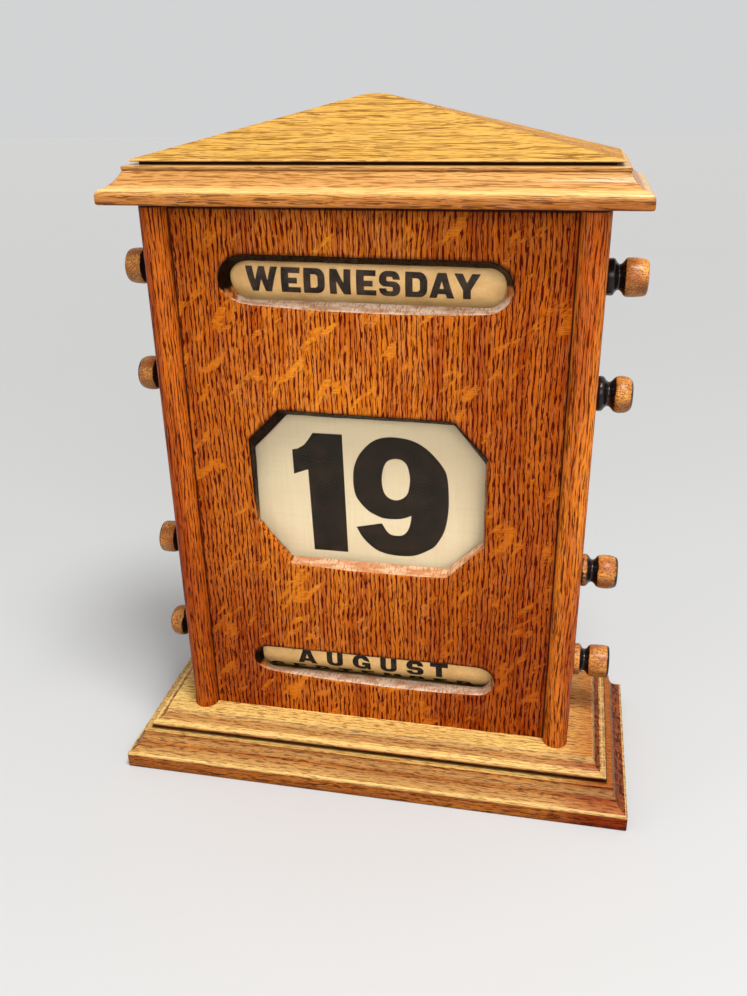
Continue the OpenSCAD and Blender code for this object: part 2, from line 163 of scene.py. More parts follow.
class Mix:
    # a material while it's mixed
    def __init__(self, name):
        self.material = bpy.data.materials.new(name)
        self.material.use_nodes = True
        self.tree = self.material.node_tree
        self.tree.nodes.clear()
        coordinates = self.node("ShaderNodeTexCoord").outputs
        self.place, self.normal = coordinates["Object"], coordinates["Normal"]

    def node(self, kind, feeds=None, **settings):
        return addNode(self.tree, kind, feeds, **settings)

    def split(self, vector):
        return [Number(self.tree, part) for part in self.node("ShaderNodeSeparateXYZ", {0: vector}).outputs]

    def facing(self, axis):
        # how far the surface faces along an axis of the calendar
        return self.split(self.normal)[axis]

    def attribute(self, name):
        return Number(self.tree, self.node("ShaderNodeAttribute", attribute_name=name).outputs["Fac"])

    def noise(self, scale, detail=2.0, rough=0.55, shift=(0, 0, 0), turn=(0, 0, 0)):
        # scale is how many features fit in a metre along X, Y and Z, once turned
        vector = self.place
        if any(turn):
            vector = self.node("ShaderNodeMapping", {"Vector": vector, "Rotation": turn}).outputs[0]
        placed = self.node("ShaderNodeMapping", {"Vector": vector, "Location": shift, "Scale": scale})
        node = self.node("ShaderNodeTexNoise", {"Vector": placed.outputs[0], "Scale": 1.0,
                                                "Detail": detail, "Roughness": rough})
        return Number(self.tree, node.outputs["Fac"])

    def blend(self, amount, first, second, how="MIX"):
        feeds = {0: amount, 6: first, 7: second}
        return self.node("ShaderNodeMix", feeds, data_type="RGBA", blend_type=how).outputs[2]

    def principled(self, colour, rough, bump=None, **more):
        # bump: the height that's felt, how strongly, and how deep in metres
        feeds = {"Base Color": colour, "Roughness": rough}
        feeds.update((shaderInputs[key], value) for key, value in more.items())
        if bump:
            felt = dict(zip(("Height", "Strength", "Distance"), bump))
            feeds["Normal"] = self.node("ShaderNodeBump", felt).outputs[0]
        return self.node("ShaderNodeBsdfPrincipled", feeds).outputs[0]

    def close(self, shader):
        self.node("ShaderNodeOutputMaterial", {"Surface": shader})
        return self.material

    def finished(self, colour, rough, bump=None, **more):
        return self.close(self.principled(colour, rough, bump, **more))


# mesh helpers

def meshPiece(name, verts, faces, materials, sharp=30, values=None):
    mesh = bpy.data.meshes.new(name)
    mesh.from_pydata(verts, [], faces)
    piece = linked(name, mesh)
    for material in materials:
        mesh.materials.append(material)
    for key, numbers in (values or {}).items():
        mesh.attributes.new(key, "FLOAT", "POINT").data.foreach_set("value", numbers)
    mesh.validate()
    smoothPiece(piece, sharp)
    return piece


def smoothPiece(piece, sharp):
    mesh = piece.data
    mesh.polygons.foreach_set("use_smooth", [True] * len(mesh.polygons))
    shape = bmesh.new()
    shape.from_mesh(mesh)
    for edge in shape.edges:
        if len(edge.link_faces) == 2:
            edge.smooth = edge.calc_face_angle(0.0) < radians(sharp)
    shape.to_mesh(mesh)
    shape.free()


def evenNormals(piece):
    # big flat faces keep their own direction beside small round ones
    weight = piece.modifiers.new("evenNormals", "WEIGHTED_NORMAL")
    weight.keep_sharp = True


def shapedMesh(piece):
    # a new mesh of what the piece's modifiers, or its filled curve, make
    bpy.context.view_layer.update()
    return bpy.data.meshes.new_from_object(piece.evaluated_get(bpy.context.evaluated_depsgraph_get()))


def settle(piece):
    # the piece's modifiers become its mesh
    mesh = shapedMesh(piece)
    piece.modifiers.clear()
    piece.data = mesh


def outwards(mesh):
    shape = bmesh.new()
    shape.from_mesh(mesh)
    bmesh.ops.remove_doubles(shape, verts=shape.verts, dist=1e-7)
    bmesh.ops.recalc_face_normals(shape, faces=shape.faces)
    shape.to_mesh(mesh)
    shape.free()


def cutAway(piece, cutter):
    # takes the cutter's shape away from the piece for good
    tool = linked("tool", bpy.data.meshes.new("tool"))
    cutter.to_mesh(tool.data)
    cutter.free()
    piece.modifiers.clear()
    cut = piece.modifiers.new("cut", "BOOLEAN")
    cut.object, cut.operation, cut.solver = tool, "DIFFERENCE", "EXACT"
    settle(piece)
    bpy.data.objects.remove(tool)
    smoothPiece(piece, 30)


def newGroup(name, given, made, inputs):
    # a geometry node group: its tree, its input node, and the identifiers to set its inputs by
    tree = bpy.data.node_groups.new(name, "GeometryNodeTree")
    tree.interface.new_socket(given, in_out="INPUT", socket_type="NodeSocketGeometry")
    identifiers = {}
    for key, kind in inputs.items():
        socket = tree.interface.new_socket(key, in_out="INPUT", socket_type="NodeSocket" + kind)
        identifiers[key] = socket.identifier
    tree.interface.new_socket(made, in_out="OUTPUT", socket_type="NodeSocketGeometry")
    return tree, addNode(tree, "NodeGroupInput").outputs, identifiers


def closeGroup(tree, geometry, finish):
    real = addNode(tree, "GeometryNodeRealizeInstances", {0: geometry})
    done = addNode(tree, "GeometryNodeSetMaterial", {"Geometry": real.outputs[0], "Material": finish})
    addNode(tree, "NodeGroupOutput", {0: done.outputs[0]})


def runGroup(piece, group, values):
    # what the group makes of the piece becomes its mesh
    tree, identifiers = group
    making = piece.modifiers.new(tree.name, "NODES")
    making.node_group = tree
    for key, value in values.items():
        making[identifiers[key]] = value
    settle(piece)


# oak

usualOak = dict(
    ends=(0.10, 0.32, 0.6), bars=0, lines=0, shine=0.08, deeper=[], deeperTone=(0.62, 0.42, 0.30),
    fleck=None, joint=None, under=None,
    underShadeHigh=6.5,    # mm of weaker painted shadow below the cornice
    sheenTone=(0.36, 0.140, 0.055), wornHighlightTone=(0.90, 0.59, 0.215), grimeShadeTone=(0.028, 0.006, 0.003),
)
oakLooks = dict(
    panelOak=dict(
        grain=2, rings=0, across=(1, 0.15, 0), shift=(3.1, 0.7, 5.2),
        deep=(0.475, 0.088, 0.0045), warm=(0.74, 0.205, 0.0105), flush=(0.69, 0.245, 0.065),
        pore=(0.088, 0.001, 0.000), poreLit=(0.20, 0.02, 0.003),
        litFaded=(0.76, 0.24, 0.02), lit=(0.3, 0.95, 0.25),
        pitch=2.15, swing=0.105, drift=1.6, thin=0.98, dash=12, poreFrom=0.53, poreTo=0.575, poreMix=0.96,
        fleck=(0.88, 0.305, 0.013), fleckFrom=0.585, fleckTo=0.66, rough=0.27, coat=0.015, shine=0.045,
        joint=(82.4, 83.0), under=(273.5, 274.3, 0.15),
        deeper=[(0, -10, 70, 0.0, 0.8), (0, -75, -30, 0.6, 0.0), (2, 60, 130, 0.5, 0.0)],
    ),
    caseOak=dict(
        grain=2, rings=0, across=(0.8, 0.6, 0), shift=(1.3, 2.2, 0.4),
        deep=(0.53, 0.100, 0.008), warm=(0.88, 0.255, 0.020), flush=(0.60, 0.175, 0.055),
        pore=(0.10, 0.008, 0.001), poreLit=(0.2, 0.03, 0.005),
        litFaded=(0.80, 0.26, 0.03), lit=(0.3, 0.95, 0.2),
        pitch=1.5, swing=0.07, drift=2.4, thin=0.85, dash=17, poreFrom=0.53, poreTo=0.58, poreMix=0.92,
        rough=0.27, coat=0.02, shine=0.04, under=(274.7, 275.4, 0.15),
        deeper=[(0, -84, -60, 0.7, 0.0), (2, 30, 160, 0.5, 0.0)],
    ),
    baseOak=dict(
        grain=0, rings=1, across=(0, 0.85, 0.52), shift=(0.6, 3.9, 2.7),
        deep=(0.30, 0.072, 0.006), warm=(0.52, 0.160, 0.018), flush=(0.46, 0.17, 0.055),
        pore=(0.075, 0.010, 0.001), poreLit=(0.30, 0.105, 0.016),
        litFaded=(0.95, 0.67, 0.205), lit=(0.50, 0.95, 0.97),
        pitch=1.7, swing=0.06, drift=5.0, thin=0.80, dash=11, poreFrom=0.525, poreTo=0.59, poreMix=0.9,
        rough=0.24, coat=0.03, shine=0.05, bars=0.95, deeperTone=(0.57, 0.17, 0.0),
        deeper=[(0, 80, 112, 0.0, 0.9)],
    ),
    corniceOak=dict(
        grain=0, rings=1, across=(0, 0.62, 0.78), shift=(4.4, 1.9, 1.1),
        deep=(0.38, 0.105, 0.012), warm=(0.55, 0.190, 0.028), flush=(0.50, 0.21, 0.09),
        pore=(0.10, 0.022, 0.003), poreLit=(0.24, 0.085, 0.014),
        litFaded=(0.66, 0.355, 0.105), lit=(-0.10, 0.55, 0.88),
        pitch=2.0, swing=0.06, drift=5.0, thin=0.75, dash=22, poreFrom=0.53, poreTo=0.60, poreMix=0.85,
        rough=0.22, coat=0.2, lines=0.5,
    ),
    roofOak=dict(
        grain=0, rings=1, across=(0, 0.6, 0.8), shift=(2.0, 0.3, 6.1),
        deep=(0.46, 0.190, 0.028), warm=(0.64, 0.330, 0.060), flush=(0.58, 0.29, 0.08),
        pore=(0.20, 0.070, 0.012), poreLit=(0.22, 0.090, 0.015),
        litFaded=(0.60, 0.345, 0.078), lit=(0.2, 0.7, 0.85),
        pitch=3.2, swing=0.06, drift=6.5, thin=0.62, dash=24, poreFrom=0.535, poreTo=0.61, poreMix=0.95,
        rough=0.36, coat=0.0, shine=0.03, ends=(0.10, 0.20, 0.95), lines=0.9,
    ),
    backOak=dict(
        grain=2, rings=0, across=(1, 0.2, 0), shift=(7.7, 3.1, 2.9),
        deep=(0.24, 0.060, 0.012), warm=(0.42, 0.135, 0.028), flush=(0.30, 0.10, 0.04),
        pore=(0.06, 0.014, 0.005), poreLit=(0.1, 0.02, 0.005),
        litFaded=(0.45, 0.16, 0.04), lit=(0.3, 0.95, 0.2),
        pitch=3.4, swing=0.07, drift=9.0, thin=1.2, dash=30, poreFrom=0.53, poreTo=0.60, poreMix=0.8,
        rough=0.42, coat=0.03,
    ),
)


def oakMaterial(name, look):
    mix = Mix(name)
    blend, noise = mix.blend, mix.noise
    sides = mix.split(mix.place)

    def grain(across, along, through=None):
        # noise scales for features of these sizes, in mm, across and along the grain
        scale = [2000 / (through or across)] * 3
        scale[look["rings"]] = 2000 / across
        scale[look["grain"]] = 2000 / along
        return scale

    # the streaks wander a little, and never run dead straight
    wander = (noise(grain(50, 120), 2.0, 0.5, look["shift"]) - 0.5) * 0.005
    sideways = mix.node("ShaderNodeCombineXYZ", {look["rings"]: wander})
    mix.place = mix.node("ShaderNodeVectorMath", {0: mix.place, 1: sideways.outputs[0]}).outputs[0]

    slow = noise(grain(17, 230, 30), 3, 0.6, look["shift"])
    fibre = noise(grain(0.9, 26), 2, 0.6, (5, 2, 7))
    dashes = noise(grain(look["thin"], look["dash"]), 1.5, 0.55, (1, 4, 9))
    fine = noise(grain(0.7, look["dash"] * 0.5), 1.5, 0.6, (6, 1, 3))
    # year rings give the dashes an even beat across the board
    drift = noise(grain(13, 110, 20), 2, 0.5, (2, 8, 1))
    level = mix.node("ShaderNodeVectorMath", {0: mix.place, 1: look["across"]}, operation="DOT_PRODUCT")
    level = Number(mix.tree, level.outputs["Value"]) + drift * (look["drift"] * mm)
    beat = (level * (2 * pi / (look["pitch"] * mm))).sine()
    pores = (dashes + beat * look["swing"]).slope(look["poreFrom"], look["poreTo"])
    poreShare = pores.most(fine.slope(0.56, 0.66) * 0.6) * look["poreMix"]

    # end grain shows redder, and faces that look up are painted paler and golder, pores too: painted light
    # from above, with some fading
    endFrom, endTo, endMost = look["ends"]
    endOn = abs(mix.facing(look["grain"])).slope(endFrom, endTo)
    litFrom, litTo, litMost = look["lit"]
    lit = mix.facing(2).slope(litFrom, litTo, 0.0, litMost) * (1.0 - endOn * endMost)
    colour = blend(slow.slope(0.36, 0.64), look["deep"], look["warm"])
    colour = blend(fibre.slope(0.48, 0.66, 0.0, 0.75), colour, look["flush"])
    colour = blend(lit, colour, blend(slow.slope(0.30, 0.70, 0.30, 0.0), look["litFaded"], look["warm"]))
    if look["lines"]:
        # a few long dark lines among the dashes
        lines = noise(grain(1.9, 95), 2.0, 0.5, (8, 3, 2))
        poreShare = poreShare.most(lines.slope(0.63, 0.68, 0.0, look["lines"]))
    if look["bars"]:
        # where a moulding runs across the grain, the pores show as short dark bars
        bars = noise(grain(6, 13, 1.9), 1.5, 0.5, (9, 2, 5))
        poreShare = poreShare.most(bars.slope(0.50, 0.56, 0.0, look["bars"]) * endOn)
    if look["fleck"]:
        # rays that show as smooth golden flecks, leaning up to the right
        rays = noise((60, 54, 150), 3.5, 0.6, look["shift"], (0, radians(48), 0))
        rays = rays.slope(look["fleckFrom"], look["fleckTo"])
        silk = noise(grain(10, 1.1, 10), 1, 0.5, (3, 3, 3)).slope(0.35, 0.65, 0.10, 0.75)
        poreShare = poreShare * (1.0 - rays * 0.85)
    colour = blend(poreShare, colour, blend(lit * (1.0 - endOn), look["pore"], look["poreLit"]))
    if look["fleck"]:
        colour = blend(rays * silk, colour, look["fleck"])
    # darker towards one side and the foot
    for axis, low, high, atLow, atHigh in look["deeper"]:
        share = sides[axis].slope(low * mm, high * mm, atLow, atHigh)
        colour = blend(share, colour, look["deeperTone"], "MULTIPLY")
    # rows of the mouldings painted dull and pinkish as a painted reflection of the room in the varnish, or
    # below zero worn bright with a painted highlight
    sheenAndWear = mix.attribute("sheenAndWear")
    dull = sheenAndWear.most(0.0) * 0.55 * (1.0 - poreShare * 0.7) * (1.0 - endOn * 0.7)
    worn = (sheenAndWear * -1.0).most(0.0) * 0.70 * (1.0 - poreShare * 0.6)
    colour = blend(worn, blend(dull, colour, look["sheenTone"]), look["wornHighlightTone"])
    # dirt that gathered in the joints, and painted shade in the quirks and undercuts
    grimeAndShade = mix.attribute("grimeAndShade")
    if look["joint"]:
        low, high = look["joint"]
        grimeAndShade = grimeAndShade.most(abs(sides[0]).slope(low * mm, high * mm))
    if look["under"]:
        # a black line right below the cornice, partly dirt in the joint and partly painted shadow, and a
        # weaker painted shadow under it
        low, high, share = look["under"]
        weakerShadow = sides[2].slope((low - look["underShadeHigh"]) * mm, low * mm, 0.0, share)
        grimeAndShade = grimeAndShade.most(sides[2].slope(low * mm, high * mm).most(weakerShadow))
    colour = blend(grimeAndShade * 0.92, colour, look["grimeShadeTone"])

    rough = slow.slope(0.3, 0.7, look["rough"] - 0.04, look["rough"] + 0.06) + poreShare * 0.18
    return mix.finished(colour, rough, (fibre * 0.25 - poreShare, 0.35, 0.00015), ior=1.45,
                        shine=look["shine"], coat=look["coat"], coatRough=0.12)


oak = {name: oakMaterial(name, {**usualOak, **look}) for name, look in oakLooks.items()}
print("calendar: oak mixed in", len(oak), "cuts")


# the other finishes

def sawnMaterial():
    # the sawn walls of the openings: painted pale where they face up, and near black elsewhere as painted
    # shade
    mix = Mix("sawnOak")
    blend = mix.blend
    specks = mix.noise((1150, 280, 280), 2.5, 0.65)
    slow = mix.noise((95, 260, 130), 2.5)
    # 1 on the walls of the two slots, which are paler, and below 0 where the stain has worn to brown
    bleached = mix.attribute("bleached")
    # painted light and shade: pale by how far a wall faces up, near black where it faces down or right
    up = mix.facing(2) + slow * 0.3 - mix.facing(0) * 0.35 + (bleached * -1.0).most(0.0) * 0.75
    pale = blend(slow.slope(0.38, 0.62), (0.55, 0.225, 0.095), (0.74, 0.45, 0.26))
    cream = blend(slow.slope(0.36, 0.60), (0.50, 0.27, 0.16), (0.74, 0.54, 0.385))
    pale = blend(bleached.most(0.0), pale, cream)
    pale = blend(specks.slope(0.50, 0.62, 0.0, 0.75), pale, (0.40, 0.15, 0.055))
    shadedWall = blend(specks.slope(0.45, 0.65), (0.016, 0.005, 0.002), (0.005, 0.002, 0.001))
    brown = blend(specks.slope(0.48, 0.60), (0.56, 0.19, 0.045), (0.24, 0.055, 0.012))
    colour = blend(up.slope(0.72, 0.92), blend(up.slope(0.30, 0.52), shadedWall, brown), pale)
    return mix.finished(colour, specks.slope(0.4, 0.7, 0.36, 0.55), (specks, 0.5, 0.0002), shine=0.03)


def bareWoodMaterial():
    mix = Mix("bareWood")
    grain = mix.noise((18, 700, 700), 3, 0.6)
    colour = mix.blend(grain.slope(0.35, 0.68), (0.50, 0.30, 0.14), (0.68, 0.46, 0.25))
    return mix.finished(colour, grain.slope(0.3, 0.7, 0.6, 0.75), (grain, 0.3, 0.0002))


def knobMaterial():
    # black polish on the collar and neck, rubbed through to the wood on the head
    mix = Mix("knobOak")
    patches = mix.noise((170, 260, 260), 3, 0.6)
    dots = mix.noise((1300, 2300, 2300), 2, 0.65, (4, 1, 2))
    slow = mix.noise((90, 170, 170), 2, 0.5, (1, 1, 8))
    wood = mix.blend(slow.slope(0.36, 0.62), (0.52, 0.165, 0.025), (0.84, 0.36, 0.070))
    wood = mix.blend(dots.slope(0.46, 0.58, 0.0, 0.85), wood, (0.16, 0.038, 0.007))
    polish = mix.blend(patches.slope(0.55, 0.75, 0.0, 0.8), (0.008, 0.005, 0.004), (0.070, 0.026, 0.009))
    # the head is rubbed all round, and painted barer and brighter on its top and front than below: painted
    # light from above
    side = (mix.facing(2) - mix.facing(1) * 0.35 + (dots - 0.5) * 0.9).slope(-0.05, 0.48)
    bareAndLit = (mix.attribute("rubbed") + (patches - 0.5) * 0.9).slope(0.38, 0.62) * (side * 0.4 + 0.6)
    return mix.finished(mix.blend(bareAndLit, polish, wood), bareAndLit.slope(0.0, 1.0, 0.25, 0.42), (dots, 0.25, 0.0001),
                        shine=0.25, coat=0.12, coatRough=0.18)


def paperMaterial(name, bright):
    mix = Mix(name)
    mottle = mix.noise((70, 110, 110), 4, 0.6)
    pulp = mix.noise((900, 900, 900), 2, 0.6)
    spots = mix.noise((170, 170, 170), 1, 0.4, (7, 5, 2))
    colour = mix.blend(mottle.slope(0.3, 0.7), [v * bright for v in (0.68, 0.365, 0.120)],
                       [v * bright for v in (0.84, 0.495, 0.195)])
    colour = mix.blend(pulp.slope(0.4, 0.7, 0.0, 0.25), colour, (0.50, 0.27, 0.085))
    colour = mix.blend(spots.slope(0.74, 0.78, 0.0, 0.8), colour, (0.10, 0.04, 0.015))
    return mix.finished(colour, mottle.slope(0.3, 0.7, 0.48, 0.6), (pulp, 0.15, 0.0001))


def inkMaterial(name, black, brown, worn, wear):
    mix = Mix(name)
    patches = mix.noise((140, 140, 170), 3, 0.6)
    scratch = mix.noise((520, 700, 700), 3, 0.7, (3, 9, 1))
    colour = mix.blend(patches.slope(0.35, 0.7), black, brown)
    colour = mix.blend(scratch.slope(wear, wear + 0.06, 0.0, 0.8), colour, worn)
    return mix.finished(colour, patches.slope(0.3, 0.7, 0.35, 0.5), (scratch, 0.15, 0.0001), shine=0.1)


def linenMaterial(pitch):
    mix = Mix("bandLinen")
    # warp and weft threads, over and under by turns
    across, deep, up = mix.split(mix.place)
    over = (across * (2 * pi / pitch)).sine() * (up * (2 * pi / pitch)).sine()
    slubs = mix.noise((35, 300, 1100), 2, 0.6)
    slubsUp = mix.noise((1100, 300, 35), 2, 0.6, (2, 2, 2))
    cloud = mix.noise((26, 26, 26), 2, 0.5)
    threads = slubs * 0.5 + slubsUp * 0.5
    colour = mix.blend(cloud.slope(0.3, 0.7), (0.64, 0.480, 0.300), (0.685, 0.53, 0.335))
    colour = mix.blend(threads.slope(0.46, 0.62, 0.0, 0.22), colour, (0.52, 0.38, 0.225))
    colour = mix.blend(over.slope(-1.0, 1.0, 0.08, 0.0), colour, (0.45, 0.33, 0.2))
    return mix.finished(colour, threads.slope(0.3, 0.7, 0.72, 0.85), (over * 0.3 + threads, 0.3, 0.0002),
                        sheen=0.08)


def glassMaterial():
    mix = Mix("windowGlass")
    smears = mix.noise((55, 30, 70), 3, 0.6)
    glass = mix.principled((0.97, 0.985, 0.975), smears.slope(0.4, 0.75, 0.01, 0.06), ior=1.13, through=1.0)
    clear = mix.node("ShaderNodeBsdfTransparent", {"Color": (0.95, 0.97, 0.96)}).outputs[0]
    shadow = mix.node("ShaderNodeLightPath").outputs["Is Shadow Ray"]
    return mix.close(mix.node("ShaderNodeMixShader", {0: shadow, 1: glass, 2: clear}).outputs[0])


def metalMaterial(name, bright, dull):
    mix = Mix(name)
    tarnish = mix.noise((420, 420, 420), 3, 0.6)
    brushed = mix.noise((300, 2500, 300), 2, 0.6)
    colour = mix.blend(tarnish.slope(0.4, 0.68), bright, dull)
    return mix.finished(colour, tarnish.slope(0.35, 0.7, 0.28, 0.5), (brushed, 0.12, 0.0001), metal=1.0)


def seenRay(tree):
    # 1 where the camera, a mirror or a pane of glass looks at the surroundings
    rays = addNode(tree, "ShaderNodeLightPath").outputs
    mirrored = Number(tree, rays["Is Glossy Ray"]).most(rays["Is Transmission Ray"])
    return Number(tree, rays["Is Camera Ray"]).most(mirrored)


def floorMaterial():
    # plain and pale; far from the lamps it's lifted where it's seen or mirrored, so that it stays even
    mix = Mix("studioFloor")
    shade = mix.noise((3, 3, 3), 2, 0.5)
    colour = mix.blend(shade.slope(0.3, 0.7, 0.0, 0.03), surround["floor"], (0.4, 0.4, 0.4))
    far = mix.node("ShaderNodeVectorMath", {0: mix.place}, operation="LENGTH")
    far = Number(mix.tree, far.outputs["Value"])
    near = (far * far * surround["fade"] + 1.0) ** -1.5
    lift = (1.0 - near) * surround["pale"] * seenRay(mix.tree)
    glow = mix.node("ShaderNodeEmission", {"Color": (1.0, 1.0, 0.99), "Strength": lift}).outputs[0]
    plain = mix.principled(colour, 0.7, shine=0.1)
    return mix.close(mix.node("ShaderNodeAddShader", {0: plain, 1: glow}).outputs[0])


inks = dict(
    nameInk=((0.018, 0.011, 0.008), (0.060, 0.032, 0.020), (0.42, 0.24, 0.11), 0.70),
    monthInk=((0.012, 0.008, 0.005), (0.030, 0.018, 0.011), (0.30, 0.17, 0.08), 0.80),
    dateInk=((0.010, 0.006, 0.003), (0.024, 0.013, 0.007), (0.12, 0.08, 0.05), 0.80),
)
metals = dict(
    screwBrass=((0.78, 0.56, 0.25), (0.32, 0.20, 0.09)),
    screwSteel=((0.56, 0.55, 0.53), (0.26, 0.24, 0.22)),
)
# the month label's paper is the same paper painted 1.19 times brighter, as painted light against the shade in
# its slot
papers = dict(labelPaper=1.0, litMonthPaper=1.19)
finishes = dict(
    sawnOak=sawnMaterial(), bareWood=bareWoodMaterial(), knobOak=knobMaterial(), windowGlass=glassMaterial(),
    bandLinen=linenMaterial(pitch=0.85 * mm),
    **{name: paperMaterial(name, bright) for name, bright in papers.items()},
    **{name: inkMaterial(name, *look) for name, look in inks.items()},
    **{name: metalMaterial(name, *look) for name, look in metals.items()},
)
print("calendar: finishes mixed")

# the parts of the frame that stay take these finishes
frameFinishes = dict(
    oak_base=oak["baseOak"], oak_case=oak["caseOak"], oak_panel=oak["panelOak"], oak_back=oak["backOak"],
    oak_cornice=oak["corniceOak"], oak_roof=oak["roofOak"], bare_wood=finishes["bareWood"],
    dark_oak=finishes["knobOak"], window_glass=finishes["windowGlass"], label_paper=finishes["labelPaper"],
    linen=finishes["bandLinen"], brass_screw=finishes["screwBrass"], steel_screw=finishes["screwSteel"],
)
for part in parts.values():
    for socket in part.material_slots:
        socket.material = frameFinishes[socket.material.name.split(".")[0]]


# moulded boards, built as rings from the bottom up

def arcPoints(centre, radius, start, end, steps=8):
    turns = [radians(start + (end - start) * i / steps) for i in range(steps + 1)]
    return [(centre[0] + radius * cos(a), centre[1] + radius * sin(a)) for a in turns]


def hollowPoints(low, high, radius, steps=9):
    # a hollow that rises from low to high
    run = (high[0] - low[0], high[1] - low[1])
    half = hypot(*run) / 2
    off = sqrt(radius * radius - half * half) / (2 * half)
    centre = ((low[0] + high[0]) / 2 - off * run[1], (low[1] + high[1]) / 2 + off * run[0])
    start = degrees(atan2(low[1] - centre[1], low[0] - centre[0]))
    end = degrees(atan2(high[1] - centre[1], high[0] - centre[0]))
    return arcPoints(centre, radius, start, end, steps)


def boxLoop(halfX, halfY, corner, steps=3):
    # a rectangle with slightly rounded corners, anticlockwise
    corner = min(corner, halfX / 2, halfY / 2)
    loop = []
    for sideX, sideY, start in ((1, 1, 0), (-1, 1, 90), (-1, -1, 180), (1, -1, 270)):
        centre = (sideX * (halfX - corner), sideY * (halfY - corner))
        loop += arcPoints(centre, corner, start, start + 90, steps)
    return loop


def capFaces(count, total):
    # the lowest ring's face and the highest one's
    return [tuple(range(count - 1, -1, -1)), tuple(range(total - count, total))]


def tubeFaces(count, rings):
    # what joins each ring of so many points to the one above
    sides = [(i, (i + 1) % count) for i in range(count)]
    return [(low + i, low + j, low + count + j, low + count + i)
            for low in range(0, (rings - 1) * count, count) for i, j in sides]


def ringStack(name, rings, corner, material):
    # rings: half width, half depth and height in mm, then grime with painted shade, and tone: painted sheen
    # above zero, wear with painted highlight below
    verts, grimeAndShade, tones = [], [], []
    for halfX, halfY, z, dirtAndShade, sheenAndWear in rings:
        for x, y in boxLoop(halfX, halfY, corner):
            verts.append((x * mm, y * mm, z * mm))
            grimeAndShade.append(dirtAndShade)
            tones.append(sheenAndWear)
    count = len(verts) // len(rings)
    low, high = capFaces(count, len(verts))
    faces = [low] + tubeFaces(count, len(rings)) + [high]
    piece = meshPiece(name, verts, faces, [material], sharp=32, values=dict(grimeAndShade=grimeAndShade, sheenAndWear=tones))
    evenNormals(piece)
    return piece


def mouldedPiece(name, edge, p, material):
    # edge: how far in and how high, then grime with painted shade and tone with painted sheen and highlight,
    # where they aren't 0, from the bottom up
    rows = [tuple(point) + (0.0, 0.0)[len(point) - 2:] for point in edge]
    rings = [(p["width"] / 2 - inset, p["depth"] / 2 - inset, p["bottom"] + high, grimeAndShade, sheenAndWear)
             for inset, high, grimeAndShade, sheenAndWear in rows]
    return ringStack(name, rings, 0.5, material)


def toned(points, tones):
    return [(x, z, 0.0, sheenAndWear) for (x, z), sheenAndWear in zip(points, tones)]


plinth = dict(width=249, depth=105, bottom=0, height=18, band=7.4, arris=1.0, coveWide=7.5, coveRadius=12,
              ledge=(9.8, 10.3, 13.0))    # how far in the ledge stays clean, then takes a weaker and then a full painted shade under the bead above
upperBoard = dict(width=228, depth=84, bottom=18, height=8.4, bead=1.9, wrap=30, coveWide=6.8, coveRadius=8)
cornice = dict(width=218.8, depth=72.8, bottom=276.4, height=14.4, foot=1.0, nose=3.0, straight=3.4,
               fillet=1.5, step=0.4, topIn=8.8, coveRadius=14)
roof = dict(width=196.5, depth=49, bottom=292.1, seatIn=3.0, gap=1.3, edge=0.8, rise=23.0,
            crown=30.0, crownSide=2.0, rounded=2.6)


def plinthEdge(p):
    # painted shade at the foot by the floor and on the ledge, a painted highlight on the arris, and a painted
    # pinkish reflection low in the cove and on the ledge
    high, (clean, darker, dark) = p["height"], p["ledge"]
    cove = hollowPoints((p["arris"], p["band"] + p["arris"]), (p["coveWide"], high), p["coveRadius"])
    edge = [(0.5, 0.0, 0.7), (0.15, 0.15, 0.6), (0.0, 0.6, 0.35), (0.0, 1.8, 0.1), (0.0, p["band"] * 0.6),
            (0.0, p["band"] - 0.5)]
    edge += toned(arcPoints((p["arris"], p["band"]), p["arris"], 180, 90, 5), [-1.0] * 6)
    edge += [(cove[0][0] + 0.35, cove[0][1] + 0.03, 0.0, 0.7)]
    edge += toned(cove[1:-1], (0.9, 0.8, 0.6, 0.2, -0.2, -0.4, -0.4, -0.3))
    return edge + [(*cove[-1], 0.1, 0.2), (p["coveWide"] + 0.4, high, 0.0, 0.6), (clean, high, 0.1, 0.6),
                   (darker, high, 0.95), (dark, high, 1.0)]


def upperEdge(p):
    # the bead's undercut carries a painted shadow line and its top a painted highlight; the cove a painted
    # pinkish reflection, then a painted highlight at its top
    bead = arcPoints((p["bead"], p["bead"]), p["bead"], 270, 90 - p["wrap"], 12)
    cove = hollowPoints(bead[-1], (p["coveWide"], p["height"]), p["coveRadius"])
    edge = [(x, z, min(1.0, max(0.0, 3 - i / 2)), -min(1.0, max(0.0, (i - 5) / 2)))
            for i, (x, z) in enumerate(bead)]
    edge += [(*cove[0], 0.35, 0.2)] + toned(cove[1:-1], (0.9, 1.0, 0.7, 0.2, -0.3, -0.6, -0.8, -0.8))
    return edge + [(p["coveWide"] - 0.1, p["height"] - 0.1, 0.0, -0.7),
                   (p["coveWide"] + 0.5, p["height"], 0.0, -0.2)]


